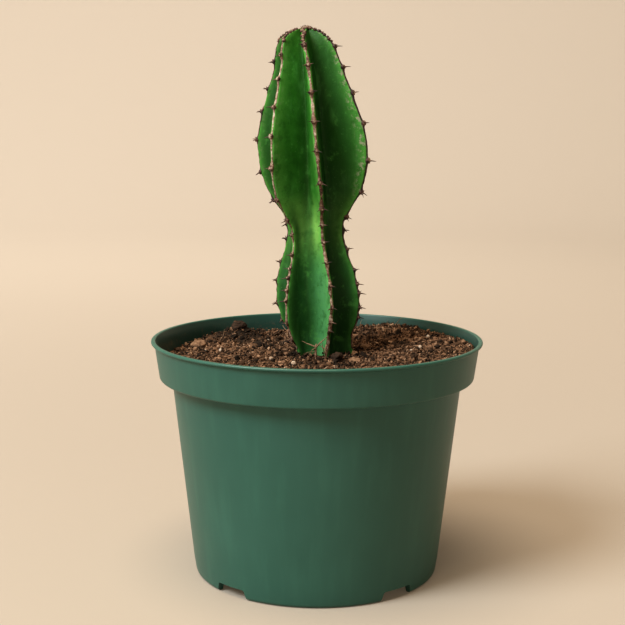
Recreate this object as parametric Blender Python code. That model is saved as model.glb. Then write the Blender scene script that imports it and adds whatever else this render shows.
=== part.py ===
"""Potted tall cactus: a six-ribbed columnar cactus in a 6-inch azalea nursery pot.

Metres, +Z up. The origin is the centre of the pot's base, on the surface it stands on, and the
object's front faces -Y. Azimuths are degrees round the pot from the front, positive towards +X.
"""

import math
import random

import bmesh
import bpy
from mathutils import Matrix, Vector

MM = 0.001

# Pot: a turned shell with a rim band that steps out over the wall.
POT_HEIGHT = 118.2 * MM
LIP_RADIUS = 82.5 * MM
LIP_HEIGHT = 1.5 * MM
LIP_OVERHANG = 1.4 * MM
LIP_WIDTH = 2.2 * MM
LIP_ROUND = 0.5 * MM
BAND_HEIGHT = 19.0 * MM
BAND_DRAFT = 2.5 * MM
BAND_CORNER = 0.9 * MM
STEP_WIDTH = 6.3 * MM
WALL_DRAFT = 10.9 * MM
WALL = 1.2 * MM
STEP_SLOPE = 1.2 * MM
FOOT_CORNER = 2.2 * MM
FOOT_WIDTH = 3.4 * MM
FLOOR_RISE = 5.0 * MM
FLOOR_THICKNESS = 1.6 * MM
POT_SEGMENTS = 72

# Drain notches in the foot ring, and the drain slots in the floor behind them.
NOTCH_AZIMUTHS = (-41.5, 39.5, 138.5, -140.5)
NOTCH_WIDTH = 20.5 * MM
NOTCH_TOP_WIDTH = 16.5 * MM
SLOT_LENGTH = 13.0 * MM
SLOT_WIDTH = 3.6 * MM
SLOT_INSET = 1.6 * MM

# Growing mix.
FIT_GAP = 0.35 * MM
MIX_DROP = 9.0 * MM
MIX_ROUGHNESS = 0.75 * MM
MIX_BUMP_SPACING = 9.0 * MM
MIX_SEGMENTS = 52
MIX_RINGS = (0.10, 0.19, 0.28, 0.38, 0.49, 0.60, 0.71, 0.82, 0.92)
# Each mound: place as shares of the mouth radius, then its two spreads and its rise.
MOUNDS = (
    (0.88, 0.06, 24.0 * MM, 30.0 * MM, 5.4 * MM),
    (0.53, 0.73, 18.0 * MM, 18.0 * MM, 4.8 * MM),
    (-0.53, 0.62, 10.0 * MM, 9.0 * MM, 4.6 * MM),
    (-0.95, 0.12, 18.0 * MM, 24.0 * MM, -2.6 * MM),
    (0.04, 0.00, 20.0 * MM, 16.0 * MM, 1.5 * MM),
)

# Stem: an outline of shares of its height above the mix and of its greatest crest radius.
STEM_HEIGHT = 158.5 * MM
STEM_RADIUS = 27.0 * MM
COLLAR_DROP = 7.2 * MM
CREST_WIDTH = 1.9 * MM
CREST_OUTLINE = (
    (-0.150, 0.20),
    (-0.065, 0.38),
    (0.000, 0.455),
    (0.060, 0.560),
    (0.115, 0.700),
    (0.175, 0.757),
    (0.245, 0.710),
    (0.320, 0.575),
    (0.380, 0.500),
    (0.415, 0.512),
    (0.460, 0.660),
    (0.525, 0.880),
    (0.600, 0.985),
    (0.645, 1.000),
    (0.710, 0.945),
    (0.790, 0.800),
    (0.890, 0.600),
    (0.945, 0.485),
    (0.968, 0.400),
    (0.984, 0.285),
    (0.995, 0.155),
    (1.000, 0.075),
)
VALLEY_OUTLINE = (
    (-0.150, 0.19),
    (-0.065, 0.34),
    (0.000, 0.375),
    (0.090, 0.415),
    (0.180, 0.435),
    (0.300, 0.385),
    (0.400, 0.350),
    (0.500, 0.370),
    (0.640, 0.375),
    (0.760, 0.350),
    (0.880, 0.290),
    (0.945, 0.215),
    (0.975, 0.140),
    (1.000, 0.050),
)
# The stem's axis leans a little to -X on its way up.
AXIS_LEAN = (
    (-0.150, 3.2 * MM),
    (0.000, 2.9 * MM),
    (0.120, 1.3 * MM),
    (0.220, 0.2 * MM),
    (0.400, -1.0 * MM),
    (0.600, -1.9 * MM),
    (0.800, -3.4 * MM),
    (1.000, -5.8 * MM),
)
# Each rib's azimuth along the stem. The two at the back stand evenly between their neighbours.
RIB_AZIMUTHS = (
    ((0.00, -84.0), (0.30, -89.0), (0.60, -91.0), (1.00, -88.0)),
    ((0.00, -56.0), (0.18, -51.0), (0.38, -54.0), (0.48, -53.0), (0.65, -47.0), (1.00, -57.0)),
    ((0.00, 9.0), (0.17, 18.0), (0.40, 13.0), (0.60, 4.0), (0.88, -1.0), (1.00, -14.0)),
    ((0.00, 68.0), (0.15, 66.0), (0.38, 70.0), (0.60, 61.5), (0.80, 60.0), (1.00, 67.0)),
    ((0.00, 132.0), (0.40, 142.0), (1.00, 136.0)),
    ((0.00, 203.0), (0.40, 209.0), (1.00, 206.0)),
)
# How much farther each rib stands out than the outline, along the stem.
RIB_REACH = (
    ((0.88, 1.00), (0.96, 1.17), (1.00, 1.30)),
    ((0.90, 1.00), (0.97, 1.20), (1.00, 1.35)),
    ((0.00, 1.00), (1.00, 1.00)),
    ((0.00, 1.03), (0.15, 1.05), (0.38, 1.045), (0.60, 1.085), (0.80, 1.075), (1.00, 1.03)),
    ((0.00, 1.00), (1.00, 1.00)),
    ((0.00, 1.00), (1.00, 1.00)),
)
# How far each rib's swellings hang below the outline, at the bottom of the stem.
RIB_SAG = (0.000, 0.042, 0.000, 0.004, 0.020, 0.012)
# How much wider each rib is where it meets the mix, and how far up that reaches.
RIB_FLARE = (0.6 * MM, 0.0 * MM, 0.8 * MM, 3.2 * MM, 1.2 * MM, 0.4 * MM)
FLARE_REACH = 0.060
# How far each valley, counted from its rib, is filled in at the foot and at the top.
VALLEY_FILL = ((0.42, 0.40), (-0.34, 0.00), (0.00, 0.00), (0.08, 0.02), (0.15, 0.05), (0.10, 0.00))
# Where each valley lies between its rib, at 0, and the next one, at 1, along the stem.
VALLEY_TURN = (
    ((0.00, 0.50), (1.00, 0.50)),
    ((0.00, 0.30), (0.22, 0.26), (0.40, 0.42), (0.55, 0.60), (0.85, 0.62), (1.00, 0.50)),
    ((0.00, 0.46), (0.22, 0.42), (0.40, 0.48), (0.60, 0.44), (0.85, 0.36), (1.00, 0.50)),
    ((0.00, 0.50), (1.00, 0.50)),
    ((0.00, 0.50), (1.00, 0.50)),
    ((0.00, 0.50), (1.00, 0.50)),
)
FLANK_STEPS = (0.33, 0.72)
STEM_RINGS = 27
FOOT_SHARES = (-0.150, -0.100, -0.045)
APEX_SHARES = (0.984, 0.995)

# Spine margins: a horny strip on each crest, with cushions that each carry two spines.
MARGIN_FOOT = 0.018
MARGIN_APEX_CLEARANCE = 3.0 * MM
MARGIN_THICKNESS = 0.8 * MM
MARGIN_HALF_WIDTH = 0.75 * MM
MARGIN_STEP = 5.0 * MM
MARGIN_STEP_APEX = 2.2 * MM
CUSHION_HALF_WIDTH = 1.15 * MM
CUSHION_THICKNESS = 1.5 * MM
CUSHION_HALF_LENGTH = 0.8 * MM
CUSHION_TAPER = 1.2 * MM
CUSHION_SPACING_APEX = 4.3 * MM
# Heights of each rib's cushions as shares of the stem's height. They end where the tuft starts.
CUSHION_SHARES = (
    (0.103, 0.155, 0.228, 0.286, 0.357, 0.403, 0.480, 0.565, 0.664, 0.750, 0.818, 0.900),
    (0.050, 0.104, 0.172, 0.206, 0.242, 0.270, 0.312, 0.372, 0.420, 0.485, 0.581, 0.676, 0.761,
     0.845, 0.917),
    (0.086, 0.114, 0.158, 0.224, 0.292, 0.353, 0.408, 0.462, 0.539, 0.634, 0.720, 0.806, 0.886,
     0.945),
    (0.120, 0.149, 0.194, 0.223, 0.265, 0.329, 0.388, 0.431, 0.509, 0.604, 0.715, 0.806, 0.883,
     0.945),
    (0.095, 0.142, 0.205, 0.262, 0.322, 0.371, 0.415, 0.478, 0.560, 0.652, 0.741, 0.823, 0.902),
    (0.070, 0.118, 0.168, 0.231, 0.288, 0.349, 0.399, 0.452, 0.533, 0.618, 0.706, 0.796, 0.878,
     0.939),
)
SPINE_LENGTH = 3.9 * MM
SPINE_SPREAD = (0.72, 0.62, -0.20)
CROWN_RADIUS = 2.1 * MM
CROWN_HEIGHT = 1.9 * MM

# Loose grains: azimuth, share of the way from the stem's foot to the band, and mean radius.
FOOT_FREE_RADIUS = 16.0 * MM
PERLITE = (
    (-101.6, 0.672, 1.25 * MM),
    (-105.4, 0.566, 1.05 * MM),
    (-100.6, 0.435, 1.00 * MM),
    (-50.9, 0.205, 1.20 * MM),
    (-23.6, 0.193, 1.40 * MM),
    (85.0, 0.571, 1.50 * MM),
    (81.5, 0.506, 0.85 * MM),
    (111.4, 0.737, 1.20 * MM),
    (175.9, 0.625, 1.30 * MM),
    (-141.8, 0.415, 1.20 * MM),
    (34.1, 0.684, 1.35 * MM),
    (-33.5, 0.768, 1.15 * MM),
)
# Bark: place as for the grains, then length, width and thickness, then turn and tilt in degrees.
BARK = (
    (-115.8, 0.853, 8.0 * MM, 5.4 * MM, 3.2 * MM, -25.0, 24.0),
    (41.5, 0.190, 5.6 * MM, 4.2 * MM, 2.4 * MM, 12.0, 8.0),
    (26.5, 0.096, 4.4 * MM, 4.0 * MM, 3.8 * MM, 40.0, 5.0),
    (103.6, 0.145, 5.6 * MM, 4.6 * MM, 3.6 * MM, 80.0, 12.0),
    (-140.5, 0.810, 6.8 * MM, 5.2 * MM, 4.4 * MM, 20.0, 15.0),
    (155.6, 0.351, 8.4 * MM, 4.2 * MM, 2.6 * MM, -50.0, 10.0),
    (-8.1, 0.632, 7.4 * MM, 5.0 * MM, 2.8 * MM, 65.0, 6.0),
)
GRAIN_SINK = 0.25
# Dry root stubs round the foot of the stem: azimuth, lean inwards, height and thickness.
ROOT_STUBS = (
    (-12.0, 5.0, 7.6 * MM, 1.5 * MM),
    (5.0, 2.0, 8.0 * MM, 1.4 * MM),
    (171.0, 6.0, 7.0 * MM, 1.6 * MM),
)
STUB_CLEARANCE = 2.6 * MM
STUB_DEPTH = 2.6 * MM
STUB_SIDES = 6

# Colours, linear.
POT_GREEN = (0.042, 0.140, 0.100)
MIX_BROWN = (0.100, 0.056, 0.030)
STEM_GREEN = (0.060, 0.230, 0.050)
HORN_BROWN = (0.200, 0.110, 0.075)
PERLITE_WHITE = (0.680, 0.620, 0.540)
BARK_BROWN = (0.220, 0.130, 0.075)
ROOT_BROWN = (0.130, 0.080, 0.050)

BAND_BOTTOM = POT_HEIGHT - BAND_HEIGHT
BAND_TOP_RADIUS = LIP_RADIUS - LIP_OVERHANG
BAND_BOTTOM_RADIUS = BAND_TOP_RADIUS - BAND_DRAFT
WALL_TOP_RADIUS = BAND_BOTTOM_RADIUS - STEP_WIDTH
FOOT_RADIUS = WALL_TOP_RADIUS - WALL_DRAFT
FLOOR_TOP = FLOOR_RISE + FLOOR_THICKNESS
LEDGE_HEIGHT = BAND_BOTTOM + WALL
COLLAR_HEIGHT = POT_HEIGHT - COLLAR_DROP
MIX_HEIGHT = POT_HEIGHT - MIX_DROP


def clear_scene():
    """Removes every object that the file opened with."""
    for item in list(bpy.data.objects):
        bpy.data.objects.remove(item, do_unlink=True)


def make_material(name, colour, roughness):
    """A plain finish of one colour."""
    finish = bpy.data.materials.new(name)
    finish.use_nodes = True
    shader = finish.node_tree.nodes["Principled BSDF"]
    shader.inputs["Base Color"].default_value = (*colour, 1.0)
    shader.inputs["Roughness"].default_value = roughness
    shader.inputs["Metallic"].default_value = 0.0
    return finish


def face_out(shape):
    """Turns a closed shape's faces out, whichever way round it was skinned."""
    if shape.calc_volume(signed=True) < 0.0:
        bmesh.ops.reverse_faces(shape, faces=shape.faces)


def add_object(name, shape, finish=None, smooth_below=None):
    """Turns a bmesh into a named object, with its faces pointing out."""
    face_out(shape)
    mesh = bpy.data.meshes.new(name)
    shape.to_mesh(mesh)
    shape.free()
    if finish is not None:
        mesh.materials.append(finish)
    if smooth_below is not None:
        mesh.shade_smooth()
        mesh.set_sharp_from_angle(angle=math.radians(smooth_below))
    item = bpy.data.objects.new(name, mesh)
    bpy.context.scene.collection.objects.link(item)
    return item


def make_cutter(name, shape):
    """An object that only cuts others."""
    cutter = add_object(name, shape)
    cutter.hide_render = True
    cutter.display_type = "WIRE"
    return cutter


def cut(item, cutter):
    """Takes the cutter's shape away from the object."""
    boolean = item.modifiers.new("cut_" + cutter.name, "BOOLEAN")
    boolean.operation = "DIFFERENCE"
    boolean.object = cutter


def smooth_value(points, place):
    """Reads a smooth curve through (place, value) points, which never overshoots them."""
    if place <= points[0][0]:
        return points[0][1]
    if place >= points[-1][0]:
        return points[-1][1]
    steps = [b[0] - a[0] for a, b in zip(points, points[1:])]
    rises = [(b[1] - a[1]) / step for a, b, step in zip(points, points[1:], steps)]
    slopes = [rises[0]]
    for before, after in zip(rises, rises[1:]):
        level = before * after <= 0.0
        slopes.append(0.0 if level else 2.0 * before * after / (before + after))
    slopes.append(rises[-1])
    index = max(i for i, point in enumerate(points[:-1]) if point[0] <= place)
    step = steps[index]
    t = (place - points[index][0]) / step
    from_start = points[index][1] * (1 + 2 * t) * (1 - t) ** 2
    from_end = points[index + 1][1] * t * t * (3 - 2 * t)
    start_slope = slopes[index] * step * t * (1 - t) ** 2
    end_slope = slopes[index + 1] * step * t * t * (t - 1)
    return from_start + from_end + start_slope + end_slope


def straight_value(start, end, place):
    """Reads the straight line between two (place, value) points."""
    share = (place - start[0]) / (end[0] - start[0])
    return start[1] + (end[1] - start[1]) * share


def outward(azimuth):
    """The level direction that points out at an azimuth in radians."""
    return Vector((math.sin(azimuth), -math.cos(azimuth), 0.0))


def sideways(azimuth):
    """The level direction of growing azimuth."""
    return Vector((math.cos(azimuth), math.sin(azimuth), 0.0))


def skin_rings(shape, rings):
    """Joins rings of points, bottom to top, into a closed skin with a flat bottom and top."""
    loops = [[shape.verts.new(point) for point in ring] for ring in rings]
    for below, above in zip(loops, loops[1:]):
        count = len(below)
        for i in range(count):
            j = (i + 1) % count
            shape.faces.new((below[i], below[j], above[j], above[i]))
    shape.faces.new(list(reversed(loops[0])))
    shape.faces.new(loops[-1])
    return loops


def grow(shape, distance):
    """Moves every point of a closed shape outwards along its normal."""
    face_out(shape)
    shape.normal_update()
    moves = [(vert, vert.normal.copy()) for vert in shape.verts]
    for vert, normal in moves:
        vert.co += normal * distance


# Pot


def outer_wall_radius(height):
    """The pot wall's outer radius below the rim band."""
    return straight_value((0.0, FOOT_RADIUS), (BAND_BOTTOM, WALL_TOP_RADIUS), height)


def outer_band_radius(height):
    """The rim band's outer radius."""
    bottom = (BAND_BOTTOM, BAND_BOTTOM_RADIUS)
    return straight_value(bottom, (POT_HEIGHT, BAND_TOP_RADIUS), height)


def corner(centre_radius, centre_height, radius, start, end, steps):
    """Points of a rounded corner in the profile, between two angles in degrees."""
    points = []
    for i in range(steps + 1):
        angle = math.radians(start + (end - start) * i / steps)
        across = centre_radius + radius * math.cos(angle)
        points.append((across, centre_height + radius * math.sin(angle)))
    return points


def pot_profile():
    """The pot's section, from the middle of the floor's underside round to its top."""
    foot_inner = FOOT_RADIUS - FOOT_WIDTH
    lip_bottom = POT_HEIGHT - LIP_HEIGHT
    inner_ledge = outer_wall_radius(BAND_BOTTOM) - WALL
    points = [(0.0, FLOOR_RISE), (foot_inner, FLOOR_RISE), (foot_inner, 0.0)]
    points += corner(FOOT_RADIUS - FOOT_CORNER, FOOT_CORNER, FOOT_CORNER, -90, -8, 3)
    points += [(WALL_TOP_RADIUS, BAND_BOTTOM)]
    lower_edge = BAND_BOTTOM_RADIUS - BAND_CORNER
    points += corner(lower_edge, BAND_BOTTOM + BAND_CORNER, BAND_CORNER, -90, 0, 2)
    points += [(outer_band_radius(lip_bottom), lip_bottom), (LIP_RADIUS - LIP_ROUND, lip_bottom)]
    points += [(LIP_RADIUS, lip_bottom + LIP_ROUND), (LIP_RADIUS, POT_HEIGHT - LIP_ROUND)]
    points += [(LIP_RADIUS - LIP_ROUND, POT_HEIGHT)]
    points += [(LIP_RADIUS - LIP_WIDTH, POT_HEIGHT)]
    points += [(outer_band_radius(lip_bottom) - WALL, lip_bottom)]
    points += [(outer_band_radius(LEDGE_HEIGHT) - WALL, LEDGE_HEIGHT)]
    points += [(inner_ledge, LEDGE_HEIGHT - STEP_SLOPE)]
    points += [(outer_wall_radius(FLOOR_TOP + WALL) - WALL, FLOOR_TOP + WALL)]
    points += [(outer_wall_radius(FLOOR_TOP) - 2 * WALL, FLOOR_TOP), (0.0, FLOOR_TOP)]
    return points


def turn_profile(profile, segments):
    """Spins a profile that starts and ends on the axis into a closed solid."""
    shape = bmesh.new()
    verts = [shape.verts.new((radius, 0.0, height)) for radius, height in profile]
    edges = [shape.edges.new(pair) for pair in zip(verts, verts[1:])]
    bmesh.ops.spin(
        shape,
        geom=verts + edges,
        cent=(0.0, 0.0, 0.0),
        axis=(0.0, 0.0, 1.0),
        angle=2 * math.pi,
        steps=segments,
        use_merge=True,
    )
    bmesh.ops.remove_doubles(shape, verts=shape.verts, dist=0.001 * MM)
    return shape


def notch_cutter():
    """One trapezoid through the foot ring for each drain notch."""
    shape = bmesh.new()
    inner = FOOT_RADIUS - FOOT_WIDTH - 2 * MM
    outer = FOOT_RADIUS + 4 * MM
    section = (
        (-NOTCH_WIDTH / 2, -1 * MM),
        (NOTCH_WIDTH / 2, -1 * MM),
        (NOTCH_TOP_WIDTH / 2 + 0.8 * MM, FLOOR_RISE - 0.9 * MM),
        (NOTCH_TOP_WIDTH / 2, FLOOR_RISE),
        (-NOTCH_TOP_WIDTH / 2, FLOOR_RISE),
        (-NOTCH_TOP_WIDTH / 2 - 0.8 * MM, FLOOR_RISE - 0.9 * MM),
    )
    for degrees in NOTCH_AZIMUTHS:
        azimuth = math.radians(degrees)
        ends = []
        for radius in (inner, outer):
            base = outward(azimuth) * radius
            points = [base + sideways(azimuth) * x + Vector((0, 0, z)) for x, z in section]
            ends.append(points)
        skin_rings(shape, ends)
    return make_cutter("notch_cutter", shape)


def slot_cutter():
    """One round-ended slot through the floor behind each drain notch."""
    shape = bmesh.new()
    middle = FOOT_RADIUS - FOOT_WIDTH - SLOT_INSET - SLOT_WIDTH / 2
    straight = (SLOT_LENGTH - SLOT_WIDTH) / 2
    for degrees in NOTCH_AZIMUTHS:
        azimuth = math.radians(degrees)
        outline = []
        for side in (1, -1):
            for turn in (-90, -45, 0, 45, 90):
                angle = math.radians(turn)
                along = side * (straight + SLOT_WIDTH / 2 * math.cos(angle))
                across = side * SLOT_WIDTH / 2 * math.sin(angle)
                outline.append((along, middle + across))
        ends = []
        for height in (FLOOR_RISE - 1 * MM, FLOOR_TOP + 1 * MM):
            lift = Vector((0, 0, height))
            points = [sideways(azimuth) * x + outward(azimuth) * y + lift for x, y in outline]
            ends.append(points)
        skin_rings(shape, ends)
    return make_cutter("slot_cutter", shape)


def make_pot(finish):
    """The pot, with its drain notches and drain slots."""
    pot = add_object("pot", turn_profile(pot_profile(), POT_SEGMENTS), finish, 35)
    cut(pot, notch_cutter())
    cut(pot, slot_cutter())
    return pot


# Growing mix


def inner_band_radius(height):
    """The inside of the rim band, less the fit gap, which is where the mix ends."""
    return outer_band_radius(height) - WALL - FIT_GAP


def bumps(x, y):
    """The mix's small unevenness, between -1 and 1."""
    turn = 2 * math.pi / MIX_BUMP_SPACING
    one = math.sin(turn * (0.83 * x + 0.41 * y) + 0.7)
    two = math.sin(turn * (-0.47 * x + 0.71 * y) + 2.1)
    three = math.sin(turn * (0.22 * x - 1.13 * y) + 4.0)
    return (one + two + three) / 3


def mix_height(x, y):
    """The top of the mix at a place in the pot."""
    height = MIX_HEIGHT + MIX_ROUGHNESS * bumps(x, y)
    mouth = inner_band_radius(MIX_HEIGHT)
    for across, along, spread_x, spread_y, rise in MOUNDS:
        from_x = (x - across * mouth) / spread_x
        from_y = (y - along * mouth) / spread_y
        height += rise * math.exp(-(from_x**2 + from_y**2) / 2)
    return height


def mix_point(share, azimuth):
    """A point on top of the mix, at a share of the way from the middle to the band."""
    edge = inner_band_radius(MIX_HEIGHT)
    for _ in range(4):
        rim = outward(azimuth) * edge
        edge = inner_band_radius(mix_height(rim.x, rim.y))
    point = outward(azimuth) * edge * share
    point.z = mix_height(point.x, point.y)
    return point


def make_mix(finish):
    """The body of growing mix, which follows the inside of the pot."""
    shape = bmesh.new()
    slope_top = LEDGE_HEIGHT + FIT_GAP
    slope_bottom = LEDGE_HEIGHT - STEP_SLOPE + FIT_GAP
    side = (
        (outer_wall_radius(FLOOR_TOP) - 2 * WALL - FIT_GAP, FLOOR_TOP + FIT_GAP),
        (outer_wall_radius(FLOOR_TOP + WALL) - WALL - FIT_GAP, FLOOR_TOP + WALL + FIT_GAP),
        (outer_wall_radius(BAND_BOTTOM) - WALL - FIT_GAP, slope_bottom),
        (inner_band_radius(slope_top), slope_top),
    )
    azimuths = [2 * math.pi * i / MIX_SEGMENTS for i in range(MIX_SEGMENTS)]
    rings = []
    for radius, height in side:
        rings.append([outward(a) * radius + Vector((0, 0, height)) for a in azimuths])
    for share in (1.0, *reversed(MIX_RINGS)):
        rings.append([mix_point(share, a) for a in azimuths])
    skin_rings(shape, rings)
    return add_object("potting_mix", shape, finish, 40)


# Stem


def rib_azimuth(rib, share):
    """A rib's azimuth in radians, at a share of the stem's height."""
    return math.radians(smooth_value(RIB_AZIMUTHS[rib], share))


def crest_radius(rib, share):
    """A rib's crest radius. The swellings of a sagging rib sit lower."""
    sag = RIB_SAG[rib] * min(1.0, max(0.0, (0.75 - share) / 0.55))
    flare = RIB_FLARE[rib] * max(0.0, 1 - abs(share) / FLARE_REACH)
    reach = STEM_RADIUS * smooth_value(RIB_REACH[rib], share)
    return reach * smooth_value(CREST_OUTLINE, share + sag) + flare


def valley_radius(rib, share):
    """The radius of the valley between a rib and the next one."""
    deep = STEM_RADIUS * smooth_value(VALLEY_OUTLINE, share)
    neighbour = (rib + 1) % len(RIB_AZIMUTHS)
    full = (crest_radius(rib, share) + crest_radius(neighbour, share)) / 2
    at_foot, at_top = VALLEY_FILL[rib]
    fill = smooth_value(((0.25, at_foot), (0.55, at_top)), share)
    return min(deep + (full - deep) * fill, 0.97 * full)


def stem_axis(share):
    """The stem's middle at a share of its height."""
    return Vector((smooth_value(AXIS_LEAN, share), 0.0, COLLAR_HEIGHT + STEM_HEIGHT * share))


def crest_half_width(rib, share):
    """Half the flat on a crest, which narrows where the ribs meet at the apex."""
    return min(CREST_WIDTH / 2, 0.28 * crest_radius(rib, share))


def flank(rib, share, side):
    """A rib's flank from its crest to the valley, as points in plan, on one side of the rib."""
    count = len(RIB_AZIMUTHS)
    azimuth = rib_azimuth(rib, share)
    gap_rib = rib if side > 0 else (rib - 1) % count
    other = rib_azimuth((rib + side) % count, share)
    turn = (other - azimuth) * side % (2 * math.pi)
    low_share = smooth_value(VALLEY_TURN[gap_rib], share)
    low_turn = turn * (low_share if side > 0 else 1 - low_share)
    low_azimuth = azimuth + side * low_turn
    crest = crest_radius(rib, share)
    valley = valley_radius(gap_rib, share)
    depth = crest - valley
    start = outward(azimuth) * crest + sideways(azimuth) * side * crest_half_width(rib, share)
    end = outward(low_azimuth) * valley
    leave = start - outward(azimuth) * 0.45 * depth + sideways(azimuth) * side * 0.06 * depth
    arrive = end - sideways(low_azimuth) * side * 0.30 * valley * low_turn
    points = []
    for t in (0.0, *FLANK_STEPS, 1.0):
        s = 1 - t
        points.append(start * s**3 + leave * 3 * s * s * t + arrive * 3 * s * t * t + end * t**3)
    return points


def stem_ring(share):
    """One ring of the stem's skin."""
    middle = stem_axis(share)
    ring = []
    for rib in range(len(RIB_AZIMUTHS)):
        before = flank(rib, share, -1)
        ring += reversed(before[:-1])
        ring += flank(rib, share, 1)
    return [middle + point for point in ring]


def stem_shares(top=1.0):
    """The heights of the stem's rings, up to a share of its height."""
    straight = [CREST_OUTLINE[-4][0] * i / STEM_RINGS for i in range(STEM_RINGS + 1)]
    return [share for share in (*FOOT_SHARES, *straight, *APEX_SHARES, 1.0) if share <= top]


def stem_shape(top=1.0):
    """The closed skin of the stem."""
    shape = bmesh.new()
    skin_rings(shape, [stem_ring(share) for share in stem_shares(top)])
    return shape


def make_stem(finish):
    """The ribbed stem, from its foot in the mix to its apex."""
    return add_object("cactus_stem", stem_shape(), finish, 50)


# Spine margins


def crest_path(rib):
    """The line along a rib's crest, from the margin's foot to the apex."""
    shares = [MARGIN_FOOT] + [share for share in stem_shares() if share > MARGIN_FOOT]
    path = []
    for share in shares:
        middle = stem_axis(share)
        radius = crest_radius(rib, share)
        if radius < MARGIN_APEX_CLEARANCE:
            break
        path.append((middle + outward(rib_azimuth(rib, share)) * radius, rib_azimuth(rib, share)))
    return path


def path_length(path):
    """The length of a crest path."""
    return sum((b[0] - a[0]).length for a, b in zip(path, path[1:]))


def walk(path, distance):
    """A place on a crest path: the point, and the directions along, out of and across it."""
    for index, (a, b) in enumerate(zip(path, path[1:])):
        length = (b[0] - a[0]).length
        if distance <= length or index == len(path) - 2:
            break
        distance -= length
    share = min(1.0, distance / length)
    point = a[0].lerp(b[0], share)
    along = (b[0] - a[0]).normalized()
    azimuth = a[1] + (b[1] - a[1]) * share
    across = sideways(azimuth)
    out = across.cross(along).normalized()
    return point, along, out, along.cross(out).normalized()


def cushion_places(rib, path):
    """Distances of the spine cushions along a rib's margin, close together at the apex."""
    length = path_length(path)
    reach = CUSHION_HALF_LENGTH + CUSHION_TAPER
    places = []
    distance = 0.0
    heights = [stem_axis(share).z for share in CUSHION_SHARES[rib]]
    for (a, _), (b, _) in zip(path, path[1:]):
        step = (b - a).length
        within = [height for height in heights if a.z <= height < b.z]
        places += [distance + step * (height - a.z) / (b.z - a.z) for height in within]
        distance += step
    while places[-1] + CUSHION_SPACING_APEX < length - reach:
        places.append(places[-1] + CUSHION_SPACING_APEX)
    return places


def margin_section(path, distance, half_width, thickness):
    """Four corners of the margin's section, the fit gap above the crest."""
    point, _, out, across = walk(path, distance)
    low = point + out * FIT_GAP
    high = point + out * (FIT_GAP + thickness)
    top = half_width * 0.7
    return (low - across * half_width, low + across * half_width, high + across * top,
            high - across * top)


def make_margin(rib, finish):
    """One rib's horny margin with its cushions and spines."""
    generator = random.Random(40 + rib)
    path = crest_path(rib)
    length = path_length(path)
    plain = (MARGIN_HALF_WIDTH, MARGIN_THICKNESS)
    raised = (CUSHION_HALF_WIDTH, CUSHION_THICKNESS)
    stations = [(0.0, *plain)]
    cushions = []
    reach = CUSHION_HALF_LENGTH + CUSHION_TAPER
    for place in (*cushion_places(rib, path), length + reach):
        start = stations[-1][0]
        step = MARGIN_STEP if place < 0.8 * length else MARGIN_STEP_APEX
        pieces = math.ceil((place - reach - start) / step)
        for i in range(1, pieces + 1):
            stations.append((start + (place - reach - start) * i / pieces, *plain))
        if place < length:
            cushions.append(len(stations))
            stations.append((place - CUSHION_HALF_LENGTH, *raised))
            stations.append((place + CUSHION_HALF_LENGTH, *raised))
            stations.append((place + reach, *plain))
    shape = bmesh.new()
    loops = skin_rings(shape, [margin_section(path, *station) for station in stations])
    shape.faces.ensure_lookup_table()
    for index in cushions:
        middle = (stations[index][0] + stations[index + 1][0]) / 2
        _, along, out, across = walk(path, middle)
        for side, first in ((-1, 3), (1, 1)):
            second = (first + 1) % 4
            corners = (loops[index][first], loops[index][second],
                       loops[index + 1][second], loops[index + 1][first])
            face = next(f for f in corners[0].link_faces if all(c in f.verts for c in corners))
            tip = bmesh.ops.poke(shape, faces=[face])["verts"][0]
            spread, lift, droop = SPINE_SPREAD
            direction = across * side * spread + out * lift + along * droop
            tip.co += direction * SPINE_LENGTH * generator.uniform(0.75, 1.15)
    return add_object(f"spine_margin_{rib + 1}", shape, finish, 30)


def make_crown(finish):
    """The tuft of young spines where the ribs meet."""
    shape = bmesh.new()
    bmesh.ops.create_icosphere(shape, subdivisions=2, radius=1.0)
    base = stem_axis(1.0).z + FIT_GAP
    generator = random.Random(7)
    for vert in shape.verts:
        rough = generator.uniform(0.85, 1.15)
        vert.co.x *= CROWN_RADIUS * rough
        vert.co.y *= CROWN_RADIUS * rough
        vert.co.z = max(vert.co.z, -0.3) * CROWN_HEIGHT / 1.3 * rough
    lowest = min(vert.co.z for vert in shape.verts)
    bmesh.ops.translate(shape, verts=shape.verts, vec=(stem_axis(1.0).x, 0.0, base - lowest))
    return add_object("crown_tuft", shape, finish, 30)


# Loose pieces on the mix


def loose_place(degrees, share):
    """A point on the mix at an azimuth, a share of the way from the stem's foot to the band."""
    radius = FOOT_FREE_RADIUS + share * (inner_band_radius(MIX_HEIGHT) - FOOT_FREE_RADIUS)
    point = outward(math.radians(degrees)) * radius
    point.z = mix_height(point.x, point.y)
    return point


def rough_pebble(size, turn, tilt, generator):
    """An irregular faceted lump of a given length, width and thickness."""
    shape = bmesh.new()
    bmesh.ops.create_icosphere(shape, subdivisions=1, radius=0.5)
    for vert in shape.verts:
        vert.co *= generator.uniform(0.88, 1.12)
        vert.co = Vector((vert.co.x * size[0], vert.co.y * size[1], vert.co.z * size[2]))
    rotation = Matrix.Rotation(math.radians(turn), 3, "Z") @ Matrix.Rotation(math.radians(tilt), 3, "X")
    bmesh.ops.rotate(shape, verts=shape.verts, cent=(0, 0, 0), matrix=rotation)
    return shape


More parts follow.
